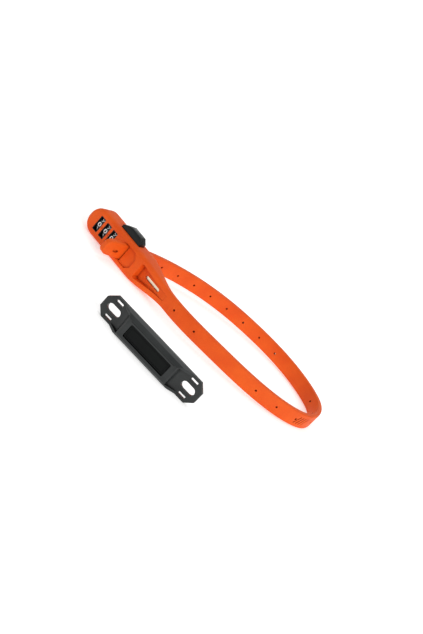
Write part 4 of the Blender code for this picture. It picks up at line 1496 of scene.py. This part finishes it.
# %% Scoops of the ramps
SCOOP_SHORT, SCOOP_DEEPER, SCOOP_SUNK = 0.9 * MM, 0.5 * MM, 0.15 * MM
SCOOP_STEPS, SCOOP_POWER = 12, 0.85
SIDE_WALL = 1.7 * MM


def scoop(sign):
    """The hollow of one ramp: a quarter ellipse between the two side walls."""
    reach, drop = RAMP_END - TOP_HALF - SCOOP_SHORT, RISE - TAB + SCOOP_DEEPER
    curve = []
    for k in range(SCOOP_STEPS + 1):
        t = pi / 2 * k / SCOOP_STEPS
        sunk = -TAB - drop + (drop + SCOOP_SUNK) * sin(t) ** SCOOP_POWER
        curve.append((RAMP_END - reach * cos(t), sunk))
    outline = curve + [(RAMP_END + PAST, -TAB + SCOOP_SUNK), (RAMP_END + PAST, -RISE - PAST)]
    outline.append((curve[0][0], -RISE - PAST))
    ring = [(sign * a, b) for a, b in outline]
    return slab(ring, SIDE_WALL, 2 * BRACKET_HALF - SIDE_WALL, seen_from_side)


carve(bracket_moulding, [finished("scoop_tool", placed(scoop(sign))) for sign in (-1, 1)])
measure(bracket_moulding)

# %% [markdown]
# Each tab has a long hole for the bolt, which lets it slide to fit the boss, and two narrow
# slots beside it for a tie. The raised body has a sunk panel with a fine line beside it.
# All of it is cut before the edges are softened, so that the bevel rounds the new rims too.

# %% Slots, panel and line
BOLT_X = 32 * MM
BOLT_SLOT = (10.2 * MM, 5.4 * MM)
TIE_OFFSET, TIE_HALF_LENGTH, TIE_HALF_WIDTH = 5.9 * MM, 2.6 * MM, 1.1 * MM
PANEL_HALF, PANEL_CORNER, PANEL_DEPTH = (16.5 * MM, 4.6 * MM), 0.8 * MM, 1.6 * MM
LINE_HALF_LENGTH, LINE_DEPTH = 18.2 * MM, 0.3 * MM
LINE_LOW, LINE_HIGH = (BRACKET_HALF + PANEL_HALF[1] + gap for gap in (1.15 * MM, 1.5 * MM))


def stadium(x, z, length, width):
    radius = width / 2
    reach = length / 2 - radius
    return arc((x + reach, z), radius, -90, 90, 12) + arc((x - reach, z), radius, 90, 270, 12)


def panel_slab(half, corner, low, high, steps=4, flare=1.0):
    """A rounded plate on the bracket's middle, grown between two depths."""
    ring = [(a, BRACKET_HALF + b) for a, b in rounded(*half, corner, steps)]
    return placed(slab(ring, low, high, seen_from_face, flare))


def tab_tools(x):
    """The bolt's hole and the two tie slots of one tab."""
    hole = slab(stadium(x, BRACKET_HALF, *BOLT_SLOT), -20 * MM, 5 * MM, seen_from_face)
    tools = [finished("bolt_slot_tool", placed(hole))]
    for z in (BRACKET_HALF - TIE_OFFSET, BRACKET_HALF + TIE_OFFSET):
        low = (x - TIE_HALF_LENGTH, -20 * MM, z - TIE_HALF_WIDTH)
        high = (x + TIE_HALF_LENGTH, 5 * MM, z + TIE_HALF_WIDTH)
        tools.append(finished("tie_slot_tool", placed(block(low, high))))
    return tools


def panel_tools():
    """The sunk panel and the fine line beside it."""
    panel = panel_slab(PANEL_HALF, PANEL_CORNER, -RISE - PAST, -RISE + PANEL_DEPTH, 3, 1.02)
    low = (-LINE_HALF_LENGTH, -RISE - PAST, LINE_LOW)
    high = (LINE_HALF_LENGTH, -RISE + LINE_DEPTH, LINE_HIGH)
    return [finished("panel_tool", panel), finished("line_tool", placed(block(low, high)))]


carve(bracket_moulding, [*tab_tools(-BOLT_X), *tab_tools(BOLT_X), *panel_tools()])
soften(bracket_moulding, 0.35 * MM, 25, 3)
measure(bracket_moulding)

# %% [markdown]
# A rubber pad lies in the panel, so that the lock doesn't rattle on the bracket. Its border
# is a narrow sunk frame. The cutter for it is a plate with a smaller plate cut out of it.

# %% Pad
PAD_HALF, PAD_CORNER, PAD_THICK = (16.1 * MM, 4.2 * MM), 0.7 * MM, 0.7 * MM
PAD_FLOOR = -RISE + 1.3 * MM
BORDER_OUTER, BORDER_OUTER_CORNER = (15.2 * MM, 3.4 * MM), 0.6 * MM
BORDER_INNER, BORDER_INNER_CORNER = (14.8 * MM, 3.0 * MM), 0.5 * MM
BORDER_FLOOR = PAD_FLOOR - 0.5 * MM


def pad():
    """A soft pad that fills the panel, with a sunk border."""
    plate = panel_slab(PAD_HALF, PAD_CORNER, PAD_FLOOR - PAD_THICK, PAD_FLOOR)
    piece = finished("panel_pad", plate, PAD_RUBBER)
    outer = panel_slab(BORDER_OUTER, BORDER_OUTER_CORNER, PAD_FLOOR - PAST, BORDER_FLOOR)
    inner = panel_slab(BORDER_INNER, BORDER_INNER_CORNER, PAD_FLOOR - 2 * PAST, PAD_FLOOR + PAST)
    border = finished("pad_border_tool", outer)
    carve(border, [finished("pad_island_tool", inner)])
    carve(piece, [border])
    shade(piece)
    return piece


panel_pad = pad()
measure(panel_pad)

# %% [markdown]
# ## Solids that stay
# The parts inside the head keep their solids, which are already the right shape and hardly
# show from outside. Modelling them twice would add nothing, so each one only gets the
# metal that it is made of.

# %% Materials of the hidden parts
INSIDE = {
    "lock_chassis": CAST_ZINC,
    "detent_spring": SPRING_STEEL,
    "core_rivet": GROUND_STEEL,
    "strap_core_near": STRIP_STEEL,
    "spindle": GROUND_STEEL,
    "latch_pawl": GROUND_STEEL,
    "dial_hub_1": TURNED_BRASS,
    "dial_hub_2": TURNED_BRASS,
    "dial_hub_3": TURNED_BRASS,
}
for name, finish in INSIDE.items():
    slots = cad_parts[name].data.materials
    slots.clear()
    slots.append(finish)
print("hidden parts with a metal:", len(INSIDE))

# %% [markdown]
# ## Which body carries what
# Last, every new piece is set to ride on its body, and the solids that it replaces are
# hidden. The finish listed with each is not used. Stiff pieces ride on one body.

# %% Riding and replacing
RIDES = [
    (near_strap, "head", "orange_overmould", ["front_shell", "strap_sleeve_near"]),
    (cover_plate, "head", "orange_overmould", ["back_cover"]),
    (window_trim, "head", "black_nylon", []),
    (release_key, "button", "black_nylon", ["release_button"]),
    (reset, "reset", "brass", ["reset_screw"]),
    (bracket_moulding, "bracket", "black_nylon", ["bracket_body"]),
    (panel_pad, "bracket", "rubber", ["bracket_pad"]),
]
RIDES += [(piece, "head", "steel", [f"cover_screw_{n}"]) for n, piece in enumerate(screws, 1)]
RIDES += [(piece, f"dial_{n}", "dial_black", [f"dial_wheel_{n}"]) for n, piece in enumerate(wheels, 1)]
RIDES += [(piece, f"dial_{n}", "dial_black", []) for n, piece in enumerate(digit_rings, 1)]
for piece, body, slot_name, nodes in RIDES:
    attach(piece, body)
    if nodes:
        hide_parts(*nodes)
print("pieces that ride:", len(RIDES))

# %% [markdown]
# The far run, its core and the two coils are each listed with a moving body, two places and
# a finish; none of these is used here. Each piece only has its place baked into its mesh,
# and the solids that it replaces are hidden.

# %% Baked in place
LOOP_TOP, SLOT_MOUTH = tuple(knot(APEX)), tuple(TAIL_START)
FAR_NODES = ["strap_sleeve_far", "tail_sleeve"]
BENDS = [
    (far_strap, "tail", LOOP_TOP, SLOT_MOUTH, "orange_overmould", FAR_NODES),
    (far_strip, "tail", LOOP_TOP, SLOT_MOUTH, "steel", ["strap_core_far", "tail_core"]),
    (latch_coil, "latch", LATCH_WALL, LATCH_FOOT, "steel", ["latch_spring"]),
    (button_coil, "button", STEM_SEAT, KEY_SEAT, "steel", ["button_spring"]),
]
for piece, body, start, end, slot_name, nodes in BENDS:
    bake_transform(piece)
    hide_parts(*nodes)
print("pieces that bend:", len(BENDS))
